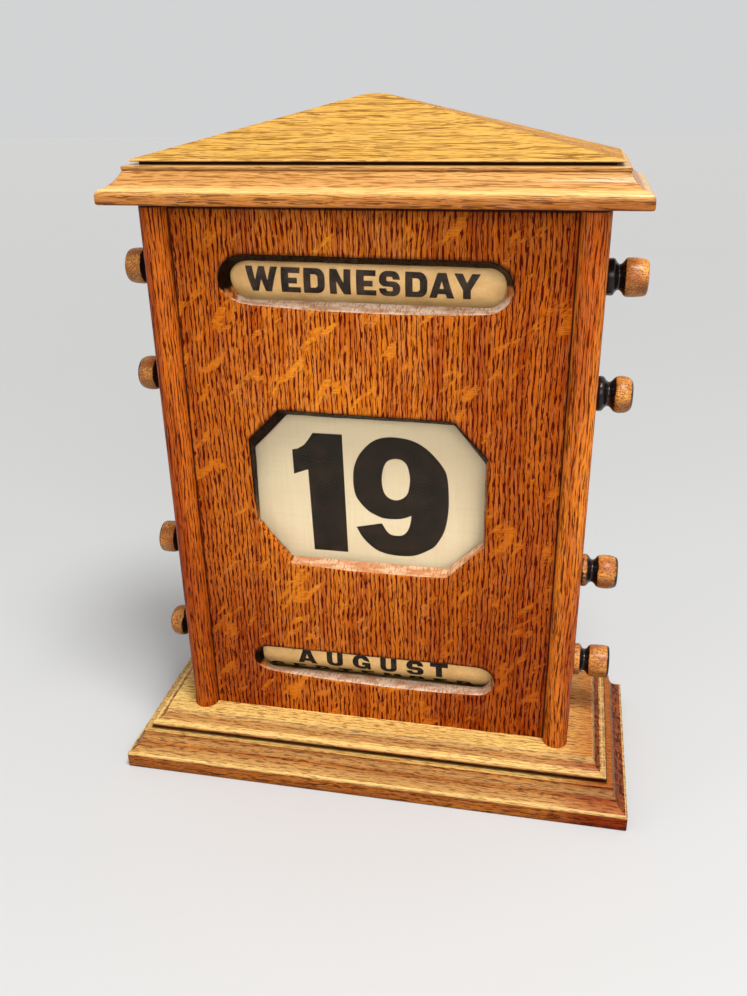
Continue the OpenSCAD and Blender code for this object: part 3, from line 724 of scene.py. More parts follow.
def corniceEdge(p):
    # painted shade at the foot and in the quirk under the fillet; painted highlights on the nose and fillet,
    # and a painted pinkish reflection in the cove
    step, topIn, high = p["height"] - p["fillet"], p["topIn"], p["height"]
    foot = arcPoints((p["foot"], p["foot"]), p["foot"], 270, 180, 5)
    edge = [(x, z, max(0.0, 0.7 - i / 4)) for i, (x, z) in enumerate(foot)]
    edge += toned(arcPoints((p["nose"], p["straight"]), p["nose"], 180, 90, 8),
                  (0.0, 0.0, 0.0, 0.0, -1.0, -1.0, -1.0, -1.0, -1.0))
    cove = hollowPoints((p["nose"], p["straight"] + p["nose"]), (topIn + p["step"], step), p["coveRadius"])
    edge += toned(cove[1:-1], (-0.4, 0.0, 0.1, 0.3, 0.3, 0.1, 0.0, 0.0))
    return edge + [(*cove[-1], 0.35), (topIn, step + 0.05, 0.1), (topIn, high - 0.3, 0.0, -0.5),
                   (topIn + 0.1, high - 0.1, 0.0, -0.8), (topIn + 0.4, high, 0.0, -0.4)]


plinthPiece = mouldedPiece("plinth_moulding", plinthEdge(plinth), plinth, oak["baseOak"])
upperPiece = mouldedPiece("base_moulding", upperEdge(upperBoard), upperBoard, oak["baseOak"])
cornicePiece = mouldedPiece("cornice_moulding", corniceEdge(cornice), cornice, oak["corniceOak"])


def slopeSpan(half, peak, r):
    # gives the half width of a gable at any height over the eaves
    centre = roof["edge"] + peak - r
    away = hypot(half, centre - roof["edge"])
    touch = atan2(centre - roof["edge"], half) + asin(r / away)
    high = centre + r * cos(touch)

    def span(z):
        if z <= high:
            return half - (z - roof["edge"]) * (half - r * sin(touch)) / (high - roof["edge"])
        return sqrt(max(r * r - (z - centre) ** 2, 1e-4))
    return span


def roofRings(p):
    halfX, halfY, low, cap = p["width"] / 2, p["depth"] / 2, p["bottom"], p["rounded"]
    wide, deep = slopeSpan(halfX, p["rise"], p["crown"]), slopeSpan(halfY, p["rise"], p["crownSide"])
    top = p["edge"] + p["rise"]
    heights = [p["edge"] + 0.25] + [p["edge"] + (p["rise"] - cap) * k / 10 for k in range(1, 11)]
    heights += [top - cap * (1 - k / 9) ** 2 for k in range(1, 10)]
    # the seat and the gap under the eaves, painted dark as shade, and the edge of the eaves, worn and painted
    # bright as a highlight, then the slopes
    foot = ((p["seatIn"], -p["gap"], 1.0, 0.0), (p["seatIn"], 0.0, 1.0, 0.0), (0.3, 0.0, 0.8, 0.0),
            (0.0, 0.3, 0.0, -0.8), (0.0, p["edge"] - 0.1, 0.0, -1.0))
    rings = [(halfX - inset, halfY - inset, low + z, grimeAndShade, sheenAndWear) for inset, z, grimeAndShade, sheenAndWear in foot]
    return rings + [(wide(z), deep(z), low + z, 0.0, 0.0) for z in heights]


roofPiece = ringStack("roof_hipped", roofRings(roof), 0.7, oak["roofOak"])


def drillHoles(piece, cones):
    # each cone is its place and turn, the radius at both ends and the length
    cutter = bmesh.new()
    for place, first, last, length in cones:
        bmesh.ops.create_cone(cutter, cap_ends=True, segments=40, radius1=first * mm, radius2=last * mm,
                              depth=length * mm, matrix=place)
    cutAway(piece, cutter)
    evenNormals(piece)


# the case screws go up through both boards of the base, their heads sunk in the plinth's underside
baseScrews = dict(places=[(x, y) for x in (-89.2, 89.2) for y in (-16, 16)],
                  hole=2.05, head=4.1, sunk=2.0, over=0.5)


def screwCones(p, low, high, first, last):
    # one cut for each screw, from low to high
    return [(Matrix.Translation((x * mm, y * mm, (low + high) / 2 * mm)), first, last, high - low)
            for x, y in p["places"]]


hole, head, sunk, over = (baseScrews[key] for key in ("hole", "head", "sunk", "over"))
wider = head + (head - hole) * over / sunk
drillHoles(plinthPiece, screwCones(baseScrews, -over, sunk, wider, hole))
drillHoles(plinthPiece, screwCones(baseScrews, 1.0, 19, hole, hole))
drillHoles(upperPiece, screwCones(baseScrews, 17, 28, hole, hole))

boards = (
    (plinthPiece, ["base_plinth"], "oak_base"), (upperPiece, ["base_upper_board"], "oak_base"),
    (cornicePiece, ["cornice_board"], "oak_cornice"), (roofPiece, ["roof_cap"], "oak_roof"),
)
for piece, nodes, slot in boards:
    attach(piece, "case")
    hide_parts(*nodes)
print("calendar: plinth, cornice and roof built")


# side boards

sideBoard = dict(outer=95.0, inner=83.4, front=-31.6, back=31.6, nose=5.8, bottom=26.4, top=276.4, arris=0.7,
                 groove=(-25.15, -17.45, 3.0), rebate=(25.6, 6.0), hole=4.06,
                 shaftY=2.1747, shafts=(245.0, 194.45, 106.55, 56.0))


def sideBoardPiece(name, side, p):
    centre = (p["outer"] + p["inner"]) / 2
    plan = arcPoints((centre, p["front"] + p["nose"]), p["nose"], 180, 360, 28)
    plan += arcPoints((p["outer"] - p["arris"], p["back"] - p["arris"]), p["arris"], 0, 90, 4)
    rebateY, rebateW = p["rebate"]
    grooveFront, grooveBack, grooveDeep = p["groove"]
    plan += [(p["inner"] + rebateW, p["back"]), (p["inner"] + rebateW, rebateY), (p["inner"], rebateY),
             (p["inner"], grooveBack), (p["inner"] + grooveDeep, grooveBack),
             (p["inner"] + grooveDeep, grooveFront), (p["inner"], grooveFront)]
    if side < 0:
        plan = [(-x, y) for x, y in reversed(plan)]
    verts = [(x * mm, y * mm, z * mm) for z in (p["bottom"], p["top"]) for x, y in plan]
    faces = capFaces(len(plan), len(verts)) + tubeFaces(len(plan), 2)
    board = meshPiece(name, verts, faces, [oak["caseOak"]])
    across = Matrix.Rotation(pi / 2, 4, "Y")
    drillHoles(board, [(Matrix.Translation((side * centre * mm, p["shaftY"] * mm, z * mm)) @ across,
                        p["hole"], p["hole"], 16) for z in p["shafts"]])
    return board


for name, side in (("left", -1), ("right", 1)):
    board = sideBoardPiece("side_" + name + "_rounded", side, sideBoard)
    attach(board, "case")
    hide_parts("side_board_" + name)
print("calendar: side boards built")


# front panel with its three openings

panel = dict(halfWide=86.25, front=-25.0, back=-17.6, bottom=26.4, top=276.4, middle=-1.5,
             soft=0.6, softLow=1.3, softCorner=1.0, wobble=0.05, lip=1.3, lipShade=0.8,
             steps=5, brownTop=23, brownDeep=45)
# cut by hand: front and back give how far each edge stands outside its drawn line, below, above, left and
# right; tip turns the whole cut; sag bows the lower edge: how much, round which x, over what half width;
# worn rounds the lower left corner off, and inner is how far each corner of the back's line has moved
openings = dict(
    day=dict(high=245.0, spine=[(-50.45, 0), (50.45, 0)], swell=10.75, tip=-0.5, sag=(1.2, 4, 45), worn=0,
             front=(1.1, 0.1, 1.6, 0.2), back=(-1.25, -4.0, -1.75, -3.6), inner=[]),
    date=dict(high=150.0, spine=[(-38.2, -36.45), (35.7, -36.45), (51.4, -20.8), (51.4, 20.3),
                                 (37.4, 35.4), (-38.9, 36.45), (-52.3, 23.0), (-51.4, -17.8)],
              swell=1.8, tip=-0.2, sag=(1.15, 5, 38), worn=3.2,
              front=(1.35, 0.6, 0.5, 0.4), back=(0, 0, 0, 0),
              inner=[(0.1, 0.3), (-0.75, 0.3), (-1.2, -0.11), (-1.4, -4.7), (-0.6, -3.55), (1.66, -4.2),
                     (0.15, -6.2), (-0.9, -1.0)]),
    month=dict(high=56.0, spine=[(-51.7, 0), (51.7, 0)], swell=8.1, tip=0.0, sag=(2.0, 14, 56), worn=0,
               front=(0.85, -0.2, 0.4, 0.9), back=(1.2, -3.8, -1.9, -1.9), inner=[]),
)


def swollen(points, radius, span=2.6):
    # outline at a distance round a convex run of points, anticlockwise, with its outward directions
    outline = []
    count = len(points)
    for k in range(count):
        before, here, after = points[k - 1], points[k], points[(k + 1) % count]
        start = atan2(here[1] - before[1], here[0] - before[0]) - pi / 2
        end = atan2(after[1] - here[1], after[0] - here[0]) - pi / 2
        while end < start - 1e-9:
            end += 2 * pi
        steps = max(2, ceil((end - start) / radians(7)))
        for i in range(steps + 1):
            a = start + (end - start) * i / steps
            outline.append((here[0] + radius * cos(a), here[1] + radius * sin(a), cos(a), sin(a), k))
        length = hypot(after[0] - here[0], after[1] - here[1])
        parts = max(1, ceil(length / span))
        for i in range(1, parts):
            t = i / parts
            x, z = (h + (a - h) * t for h, a in zip(here, after))
            outline.append((x + radius * cos(end), z + radius * sin(end), cos(end), sin(end), k + t))
    return outline


def cornerShift(moved, place):
    # what the moved corners do to a point that stands between two of them
    if not moved:
        return 0.0, 0.0
    k, t = int(place), place - int(place)
    first, second = moved[k], moved[(k + 1) % len(moved)]
    return first[0] + (second[0] - first[0]) * t, first[1] + (second[1] - first[1]) * t


def sideShare(values, nx, nz):
    # one of below, above, left and right, or a mix of two at a corner
    below, above, left, right = values
    return (below if nz < 0 else above) * nz * nz + (left if nx < 0 else right) * nx * nx


def panelPiece(p):
    shape = bmesh.new()

    def loopAt(points, y):
        verts = [shape.verts.new((x * mm, y * mm, z * mm)) for x, z in points]
        edges = [shape.edges.new((verts[i], verts[(i + 1) % len(verts)])) for i in range(len(verts))]
        return verts, edges

    def skin(first, second, slots):
        for i in range(len(first)):
            j = (i + 1) % len(first)
            shape.faces.new((first[i], second[i], second[j], first[j])).material_index = slots[i]

    border = [(-p["halfWide"], p["bottom"]), (p["halfWide"], p["bottom"]),
              (p["halfWide"], p["top"]), (-p["halfWide"], p["top"])]
    frontVerts, frontEdges = loopAt(border, p["front"])
    backVerts, backEdges = loopAt(border, p["back"])
    skin(backVerts, frontVerts, [0] * 4)
    for key in ("grimeAndShade", "bleached"):
        shape.verts.layers.float.new(key)
    grimeAndShade, bleached = shape.verts.layers.float["grimeAndShade"], shape.verts.layers.float["bleached"]
    for k, hole in enumerate(openings.values()):
        outline = swollen(hole["spine"], hole["swell"])
        tip = radians(hole["tip"])
        sag, sagMiddle, sagWide = hole["sag"]
        rows, last = [], p["steps"] + 1
        for level in range(-1, last + 1):
            # a flat lip, some steps round the softened front edge, then straight to the back
            a = radians(min(max(level, 0), p["steps"]) * 90 / p["steps"])
            row = []
            for x, z, nx, nz, place in outline:
                down, corner = max(0.0, -nz), max(0.0, -nx) * max(0.0, -nz)
                soft = p["soft"] + (p["softLow"] - p["soft"]) * down ** 2 + hole["worn"] * corner
                soft += p["softCorner"] * max(0.0, nx) * max(0.0, nz)
                uneven = sin(x * 0.23 + 3 * k) + sin(x * 0.61 - z * 0.47 + k) + cos(z * 0.29 + x * 0.11)
                uneven *= p["wobble"]
                if level < last:
                    grow = sideShare(hole["front"], nx, nz) - soft * sin(a) + uneven
                    grow += sag * (1 - ((x - sagMiddle) / sagWide) ** 2) * down ** 2
                else:
                    grow = sideShare(hole["back"], nx, nz) + uneven
                if level < 0:
                    grow += p["lip"] * (1 + 0.25 * sin(x * 1.9 + z * 1.3))
                px, pz = x + nx * grow, z + nz * grow
                y = p["front"] + soft * (1 - cos(a))
                if level == last:
                    shift = cornerShift(hole["inner"], place)
                    px, y, pz = px + shift[0], p["back"], pz + shift[1]
                vert = shape.verts.new(((px * cos(tip) - pz * sin(tip) + p["middle"]) * mm, y * mm,
                                        (px * sin(tip) + pz * cos(tip) + hole["high"]) * mm))
                # a painted shade round each opening's front edge, strongest at its top
                vert[grimeAndShade] = p["lipShade"] * min(1.0, max(0.0, nz + 0.45)) if level > -1 else 0.0
                # the slots' walls have bleached; the window's left one is brown at the bottom
                vert[bleached] = 1.0
                if hole["inner"]:
                    brown = min(1.0, max(0.0, (p["brownTop"] - z) / p["brownDeep"]))
                    vert[bleached] = -max(0.0, -nx) * brown
                row.append(vert)
            rows.append(row)
        for level in range(last + 1):
            # the sawn finish, painted dark where it doesn't face up, runs right to the front, but for the
            # worn edge below
            slots = [int(level > 1 and not (nz < -0.3 and level < 4)
                         and not (nz < -0.06 and hole["worn"] * max(0.0, -nx) > 0.4))
                     for x, z, nx, nz, place in outline]
            skin(rows[level], rows[level + 1], slots)
        for row, edges in ((rows[0], frontEdges), (rows[-1], backEdges)):
            edges += [shape.edges.get((row[i], row[(i + 1) % len(row)])) for i in range(len(row))]
    for edges, normal in ((frontEdges, (0, -1, 0)), (backEdges, (0, 1, 0))):
        made = bmesh.ops.triangle_fill(shape, edges=edges, use_beauty=True, normal=normal)
        for face in made["geom"]:
            if isinstance(face, bmesh.types.BMFace):
                face.material_index = 0
    bmesh.ops.recalc_face_normals(shape, faces=shape.faces)
    mesh = bpy.data.meshes.new("panel_with_openings")
    shape.to_mesh(mesh)
    shape.free()
    piece = linked("panel_with_openings", mesh)
    mesh.materials.append(oak["panelOak"])
    mesh.materials.append(finishes["sawnOak"])
    smoothPiece(piece, 30)
    evenNormals(piece)
    return piece


panelBoard = panelPiece(panel)
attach(panelBoard, "case")
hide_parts("front_panel")
print("calendar: front panel built")


# screws of the back panel: one shape, set six times and each turned its own way

backScrews = dict(places=[(x, z) for z in (62.4, 151.4, 240.4) for x in (-86.4, 86.4)], face=31.6, head=2.6,
                  high=1.78, slotWide=0.6, slotDeep=0.89, slotLong=8, shank=1.3, length=16.0,
                  sides=32, seed=5)


def screwShape(p):
    # turned round the Y axis from its tip to the top of its head, then slotted
    dome = (p["head"] ** 2 + p["high"] ** 2) / (2 * p["high"])
    steeps = [asin(p["head"] / dome) * (1 - k / 9) for k in range(1, 9)]
    line = [(0.05, -p["length"]), (p["shank"] * 0.7, -p["length"] + 1.5), (p["shank"], -p["length"] + 4),
            (p["shank"], 0), (p["head"] - 0.12, 0.0), (p["head"], 0.1)]
    line += [(dome * sin(steep), p["high"] - dome + dome * cos(steep)) for steep in steeps]
    line += [(0.02, p["high"])]
    sides = p["sides"]
    turns = [2 * pi * i / sides for i in range(sides)]
    verts = [(r * cos(turn) * mm, y * mm, -r * sin(turn) * mm) for r, y in line for turn in turns]
    faces = capFaces(sides, len(verts)) + tubeFaces(sides, len(line))
    screw = meshPiece("screw", verts, faces, [finishes["screwBrass"]])
    outwards(screw.data)
    cutter = bmesh.new()
    place = Matrix.Translation((0, (p["high"] + 1 - p["slotDeep"] / 2) * mm, 0))
    size = Matrix.Diagonal((p["slotLong"] * mm, (p["slotDeep"] + 2) * mm, p["slotWide"] * mm, 1))
    bmesh.ops.create_cube(cutter, size=1.0, matrix=place @ size)
    cutAway(screw, cutter)
    return screw


def screwTree():
    # sets the screw on every point, turned about its own axis by a seeded amount
    tree, given, identifiers = newGroup("setScrews", "Places", "Screws",
                                        {"Screw": "Object", "Seed": "Int", "Finish": "Material"})
    shape = addNode(tree, "GeometryNodeObjectInfo", {"Object": given["Screw"]})
    chance = addNode(tree, "FunctionNodeRandomValue", {2: 0.0, 3: pi, 8: given["Seed"]}, data_type="FLOAT")
    turn = addNode(tree, "ShaderNodeCombineXYZ", {1: chance.outputs[1]})
    placed = addNode(tree, "GeometryNodeInstanceOnPoints", {
        "Points": given["Places"], "Instance": shape.outputs["Geometry"], "Rotation": turn.outputs[0]})
    closeGroup(tree, placed.outputs[0], given["Finish"])
    return tree, identifiers


oneScrew = screwShape(backScrews)
spots = bpy.data.meshes.new("back_screws_slotted")
spots.from_pydata([(x * mm, backScrews["face"] * mm, z * mm) for x, z in backScrews["places"]], [], [])
screws = linked("back_screws_slotted", spots)
runGroup(screws, screwTree(), {"Screw": oneScrew, "Seed": backScrews["seed"],
                               "Finish": finishes["screwBrass"]})
bpy.data.objects.remove(oneScrew)
smoothPiece(screws, 30)
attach(screws, "case")
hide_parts("back_panel_screws")
print("calendar: back screws set")


# turned knobs, swept round their profile by Geometry Nodes

knobSetting = dict(sides=56, root=97.9, shift=-2.4, length=17.2, neck=7.3)
# station from the collar's inner face, radius, and how far the polish is rubbed off, in mm and 0 to 1
knobProfiles = dict(
    squareHead=[(0, 5.2, 0), (0.0, 7.0, 0), (0.25, 7.45, 0.1), (1.0, 7.6, 0.15), (2.6, 7.6, 0.15),
                (3.3, 7.2, 0.05), (3.9, 6.3, 0), (4.6, 5.5, 0), (5.4, 5.3, 0), (6.2, 5.8, 0),
                (6.9, 6.7, 0), (7.3, 7.3, 0.15), (8.0, 7.8, 0.75), (9.5, 8.0, 0.95), (12.0, 7.95, 0.95),
                (14.6, 7.7, 0.9), (16.2, 7.35, 0.75), (16.9, 6.8, 0.6), (17.2, 5.9, 0.6), (17.2, 3.0, 0.7),
                (17.2, 0.02, 0.7)],
    roundHead=[(0, 5.2, 0), (0.0, 6.9, 0), (0.4, 7.4, 0.1), (1.4, 7.7, 0.1), (2.6, 7.5, 0.1), (3.3, 6.9, 0),
               (4.0, 6.0, 0), (4.8, 5.4, 0), (5.7, 5.4, 0), (6.5, 6.1, 0), (7.2, 6.9, 0.1), (8.2, 7.6, 0.5),
               (9.8, 8.0, 0.95), (12.0, 8.0, 1.0), (14.0, 7.7, 0.95), (15.6, 7.0, 0.6), (16.6, 6.0, 0.35),
               (17.1, 4.8, 0.3), (17.2, 3.0, 0.4), (17.2, 0.02, 0.4)],
    barrelHead=[(0, 5.2, 0), (0.0, 7.0, 0.1), (0.3, 7.5, 0.3), (1.2, 7.7, 0.55), (2.4, 7.6, 0.5),
                (3.2, 7.0, 0.1), (3.9, 6.1, 0), (4.8, 5.4, 0), (5.8, 5.5, 0), (6.6, 6.2, 0),
                (7.2, 7.0, 0.1), (8.2, 7.6, 0.7), (10.0, 7.95, 1.0), (12.0, 8.0, 1.0), (14.0, 7.8, 0.9),
                (15.8, 7.3, 0.5), (16.8, 6.7, 0.3), (17.2, 5.8, 0.3), (17.2, 3.0, 0.5), (17.2, 0.02, 0.5)],
    flatHead=[(0, 5.2, 0), (0.0, 7.1, 0.3), (0.3, 7.55, 0.6), (1.2, 7.7, 0.9), (2.6, 7.7, 0.9),
              (3.3, 7.2, 0.3), (3.9, 6.2, 0), (4.8, 5.5, 0), (5.8, 5.5, 0), (6.6, 6.2, 0), (7.2, 7.1, 0.1),
              (8.0, 7.6, 0.8), (9.6, 7.9, 1.0), (12.4, 8.0, 1.0), (15.2, 7.9, 0.85), (16.5, 7.7, 0.3),
              (17.05, 7.3, 0.1), (17.2, 6.7, 0.2), (17.2, 3.0, 0.6), (17.2, 0.02, 0.6)],
)
# each knob's profile, and how many mm its head is shorter than drawn
knobs = dict(
    day_knob_right=("squareHead", 0.4), date_upper_knob_right=("roundHead", 1.7),
    date_lower_knob_right=("barrelHead", 0.4), month_knob_right=("flatHead", 0.0),
    day_knob_left=("squareHead", 1.9), date_upper_knob_left=("barrelHead", 1.5),
    date_lower_knob_left=("flatHead", 2.1), month_knob_left=("roundHead", 1.7),
)


def turningTree():
    # sweeps a circle along the profile's line, as wide at each point as its radius says
    tree, given, identifiers = newGroup("turnedKnob", "Profile", "Knob",
                                        {"Sides": "Int", "Finish": "Material"})
    line = addNode(tree, "GeometryNodeMeshToCurve", {0: given["Profile"]})
    radius = addNode(tree, "GeometryNodeInputNamedAttribute", {"Name": "turnRadius"}, data_type="FLOAT")
    circle = addNode(tree, "GeometryNodeCurvePrimitiveCircle", {"Resolution": given["Sides"], "Radius": 1.0})
    swept = addNode(tree, "GeometryNodeCurveToMesh", {
        "Curve": line.outputs[0], "Profile Curve": circle.outputs[0],
        "Scale": radius.outputs["Attribute"], "Fill Caps": True})
    closeGroup(tree, swept.outputs[0], given["Finish"])
    return tree, identifiers


turning = turningTree()


def smoothRun(points, t):
    # between the second and third of four points, on a smooth curve through them all
    return tuple(0.5 * (2 * q + (r - o) * t + (2 * o - 5 * q + 4 * r - s) * t * t
                        + (3 * q - o - 3 * r + s) * t ** 3) for o, q, r, s in zip(*points))


def denser(profile):
    # a smooth run through the profile's points, except where they stand square
    out = [profile[0]]
    for k in range(len(profile) - 1):
        a, b = profile[k], profile[k + 1]
        before = profile[k - 1] if k else a
        after = profile[k + 2] if k + 2 < len(profile) else b
        square = abs(a[0] - b[0]) < 0.01 or a[0] - before[0] < 0.01 or after[0] - b[0] < 0.01
        for t in (0.25, 0.5, 0.75, 1.0):
            straight = tuple(u + (v - u) * t for u, v in zip(a, b))
            out.append(straight if square else smoothRun((before, a, b, after), t))
    return out


for name, (profileName, shorter) in knobs.items():
    neck, length = knobSetting["neck"], knobSetting["length"]
    squeeze = (length - shorter - neck) / (length - neck)
    side = -1 if name.endswith("left") else 1
    shaft = name.rsplit("_knob", 1)[0]
    low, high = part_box(name)
    profile = denser([(s if s < neck else neck + (s - neck) * squeeze, r, rub)
                      for s, r, rub in knobProfiles[profileName]])
    # two stations never share a place, so that the sweep keeps its direction
    stations = [(s + 0.0002 * i, r, rub) for i, (s, r, rub) in enumerate(profile)]
    verts = [((side * (knobSetting["root"] + s) + knobSetting["shift"]) * mm, sideBoard["shaftY"] * mm,
              (low[2] + high[2]) / 2) for s, r, rub in stations]
    mesh = bpy.data.meshes.new(name + "_turned")
    mesh.from_pydata(verts, [(i, i + 1) for i in range(len(stations) - 1)], [])
    for key, index, unit in (("turnRadius", 1, mm), ("rubbed", 2, 1.0)):
        numbers = [station[index] * unit for station in stations]
        mesh.attributes.new(key, "FLOAT", "POINT").data.foreach_set("value", numbers)
    knob = linked(name + "_turned", mesh)
    runGroup(knob, turning, {"Sides": knobSetting["sides"], "Finish": finishes["knobOak"]})
    outwards(knob.data)
    smoothPiece(knob, 40)
    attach(knob, shaft + "_shaft")
    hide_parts(name)
print("calendar: knobs turned")


# drum labels and their names

drum = dict(middle=-2.4, shaftY=2.1747, radius=17.75, paper=0.3, width=132.0, lift=0.03, sides=120, seam=0.9,
            strip=0.9)
dayNames = dict(
    shaft="day_shaft", z=245.0, node="day_label", capHigh=10.9, letterWide=0.93, gap=1.97, middle=-4.85,
    tilt=-4.65, askew=-0.76, step=360 / 7, own={},
    kerns=dict(WE=-0.5, ED=-0.6, ES=-0.8, NE=0.4, DA=-1.3, AY=-2.3),
    ink="nameInk", paper="labelPaper",
    words=["WEDNESDAY", "THURSDAY", "FRIDAY", "SATURDAY", "SUNDAY", "MONDAY", "TUESDAY"],
)
monthNames = dict(
    shaft="month_shaft", z=56.0, node="month_label", capHigh=7.7, letterWide=1.03, gap=4.6, middle=-4.0,
    tilt=-10.9, askew=-0.4, step=34.6, kerns=dict(AU=0.2, US=-0.2, ST=-1.9),
    ink="monthInk", paper="litMonthPaper",
    own=dict(AUGUST=dict(capHigh=10.0, letterWide=0.97, gap=5.1, middle=-3.4),
             SEPTEMBER=dict(capHigh=8.1, middle=-5.1)),
    words=["AUGUST", "SEPTEMBER", "OCTOBER", "NOVEMBER", "DECEMBER", "JANUARY", "FEBRUARY", "MARCH",
           "APRIL", "MAY", "JUNE", "JULY"],
)

# block capitals, one unit high: width, then outlines whose points may carry a corner radius
letters = dict(
    A=(1.04, [[(0, 0), (.31, 0), (.365, .18), (.675, .18), (.73, 0), (1.04, 0), (.70, 1), (.34, 1)],
              [(.435, .4), (.605, .4), (.52, .68)]]),
    B=(.90, [[(0, 0), (.9, 0, .27), (.9, .5, .14), (.8, .54), (.86, .58, .1), (.86, 1, .24), (0, 1)],
             [(.3, .2), (.6, .2, .09), (.6, .42, .09), (.3, .42)],
             [(.3, .63), (.57, .63, .07), (.57, .8, .07), (.3, .8)]]),
    C=(.86, [[(.86, .36), (.86, 0, .42), (0, 0, .44), (0, 1, .44), (.86, 1, .42), (.86, .64), (.56, .64),
              (.56, .77, .13), (.31, .77, .13), (.31, .23, .13), (.56, .23, .13), (.56, .36)]]),
    D=(.92, [[(0, 0), (.92, 0, .36), (.92, 1, .36), (0, 1)],
             [(.31, .24), (.61, .24, .13), (.61, .76, .13), (.31, .76)]]),
    E=(.84, [[(0, 0), (.84, 0), (.84, .23), (.33, .23), (.33, .375), (.70, .375), (.70, .605), (.33, .605),
              (.33, .78), (.82, .78), (.82, 1), (0, 1)]]),
    F=(.78, [[(0, 0), (.32, 0), (.32, .37), (.66, .37), (.66, .61), (.32, .61), (.32, .76), (.78, .76),
              (.78, 1), (0, 1)]]),
    G=(.94, [[(.94, 0), (.94, .54), (.5, .54), (.5, .34), (.63, .34), (.63, .23, .06), (.31, .23, .13),
              (.31, .77, .13), (.6, .77, .13), (.6, .68), (.9, .68), (.9, 1, .42), (0, 1, .44), (0, 0, .44),
              (.7, 0, .16), (.73, .12), (.79, 0)]]),
    H=(.88, [[(0, 0), (.31, 0), (.31, .38), (.57, .38), (.57, 0), (.88, 0), (.88, 1), (.57, 1), (.57, .62),
              (.31, .62), (.31, 1), (0, 1)]]),
    I=(.32, [[(0, 0), (.32, 0), (.32, 1), (0, 1)]]),
    J=(.74, [[(.74, 1), (.43, 1), (.43, .22, .07), (.28, .22, .07), (.28, .38), (0, .38), (0, 0, .3),
              (.74, 0, .34)]]),
    L=(.76, [[(0, 0), (.76, 0), (.76, .25), (.32, .25), (.32, 1), (0, 1)]]),
    M=(1.06, [[(0, 0), (.28, 0), (.28, .58), (.44, .02), (.62, .02), (.78, .58), (.78, 0), (1.06, 0),
               (1.06, 1), (.70, 1), (.53, .42), (.36, 1), (0, 1)]]),
    N=(.90, [[(0, 0), (.3, 0), (.3, .52), (.60, 0), (.90, 0), (.90, 1), (.60, 1), (.60, .48), (.3, 1),
             (0, 1)]]),
    O=(.94, [[(0, 0, .44), (.94, 0, .44), (.94, 1, .44), (0, 1, .44)],
             [(.31, .23, .15), (.63, .23, .15), (.63, .77, .15), (.31, .77, .15)]]),
    P=(.88, [[(0, 0), (.31, 0), (.31, .34), (.88, .34, .27), (.88, 1, .27), (0, 1)],
             [(.31, .56), (.58, .56, .09), (.58, .78, .09), (.31, .78)]]),
    R=(.96, [[(0, 0), (.31, 0), (.31, .34), (.40, .34), (.60, 0), (.96, 0), (.72, .39), (.88, .5, .1),
              (.88, 1, .27), (0, 1)], [(.31, .56), (.58, .56, .09), (.58, .78, .09), (.31, .78)]]),
    S=(.90, [[(0, .33), (0, 0, .32), (.90, 0, .33), (.90, .60, .27), (.32, .62, .05), (.32, .78, .06),
              (.58, .78, .06), (.58, .68), (.88, .68), (.88, 1, .31), (0, 1, .33), (0, .41, .27),
              (.58, .39, .05), (.58, .22, .07), (.32, .22, .07), (.32, .33)]]),
    T=(.92, [[(.30, 0), (.62, 0), (.62, .75), (.92, .75), (.92, 1), (0, 1), (0, .75), (.30, .75)]]),
    U=(.86, [[(0, 1), (0, 0, .36), (.86, 0, .36), (.86, 1), (.56, 1), (.56, .24, .12), (.3, .24, .12),
             (.3, 1)]]),
    V=(1.04, [[(0, 1), (.34, 0), (.70, 0), (1.04, 1), (.71, 1), (.52, .36), (.33, 1)]]),
    W=(1.42, [[(0, 1), (.29, 0), (.55, 0), (.71, .5), (.87, 0), (1.13, 0), (1.42, 1), (1.11, 1), (.98, .47),
               (.84, 1), (.58, 1), (.44, .47), (.31, 1)]]),
    Y=(1.08, [[(.38, 0), (.70, 0), (.70, .38), (1.08, 1), (.73, 1), (.54, .66), (.35, 1), (0, 1),
             (.38, .38)]]),
)


def roundedOutline(points, steps=6):
    outline = []
    for k, point in enumerate(points):
        if len(point) == 2:
            outline.append(Vector(point))
            continue
        here = Vector(point[:2])
        back = (Vector(points[k - 1][:2]) - here).normalized()
        ahead = (Vector(points[(k + 1) % len(points)][:2]) - here).normalized()
        half = back.angle(ahead) / 2
        reach = point[2] / tan(half)
        centre = here + (back + ahead).normalized() * point[2] / sin(half)
        start, end = here + back * reach - centre, here + ahead * reach - centre
        sweep = start.angle_signed(end)
        for i in range(steps + 1):
            outline.append(centre + Matrix.Rotation(-sweep * i / steps, 2) @ start)
    return outline


def filledMesh(name, outlines):
    # flat faces inside the outlines, with the inner ones left open
    curve = bpy.data.curves.new(name, "CURVE")
    curve.dimensions = "2D"
    curve.fill_mode = "BOTH"
    for outline in outlines:
        spline = curve.splines.new("POLY")
        spline.points.add(len(outline) - 1)
        for point, (x, y) in zip(spline.points, outline):
            point.co = (x, y, 0, 1)
        spline.use_cyclic_u = True
    holder = linked(name, curve)
    mesh = shapedMesh(holder)
    bpy.data.objects.remove(holder)
    bpy.data.curves.remove(curve)
    return mesh


def cutAcross(shape, axis, level):
    normal = [0, 0, 0]
    normal[axis] = 1
    bmesh.ops.bisect_plane(shape, geom=shape.verts[:] + shape.edges[:] + shape.faces[:],
                           plane_co=[n * level for n in normal], plane_no=normal)


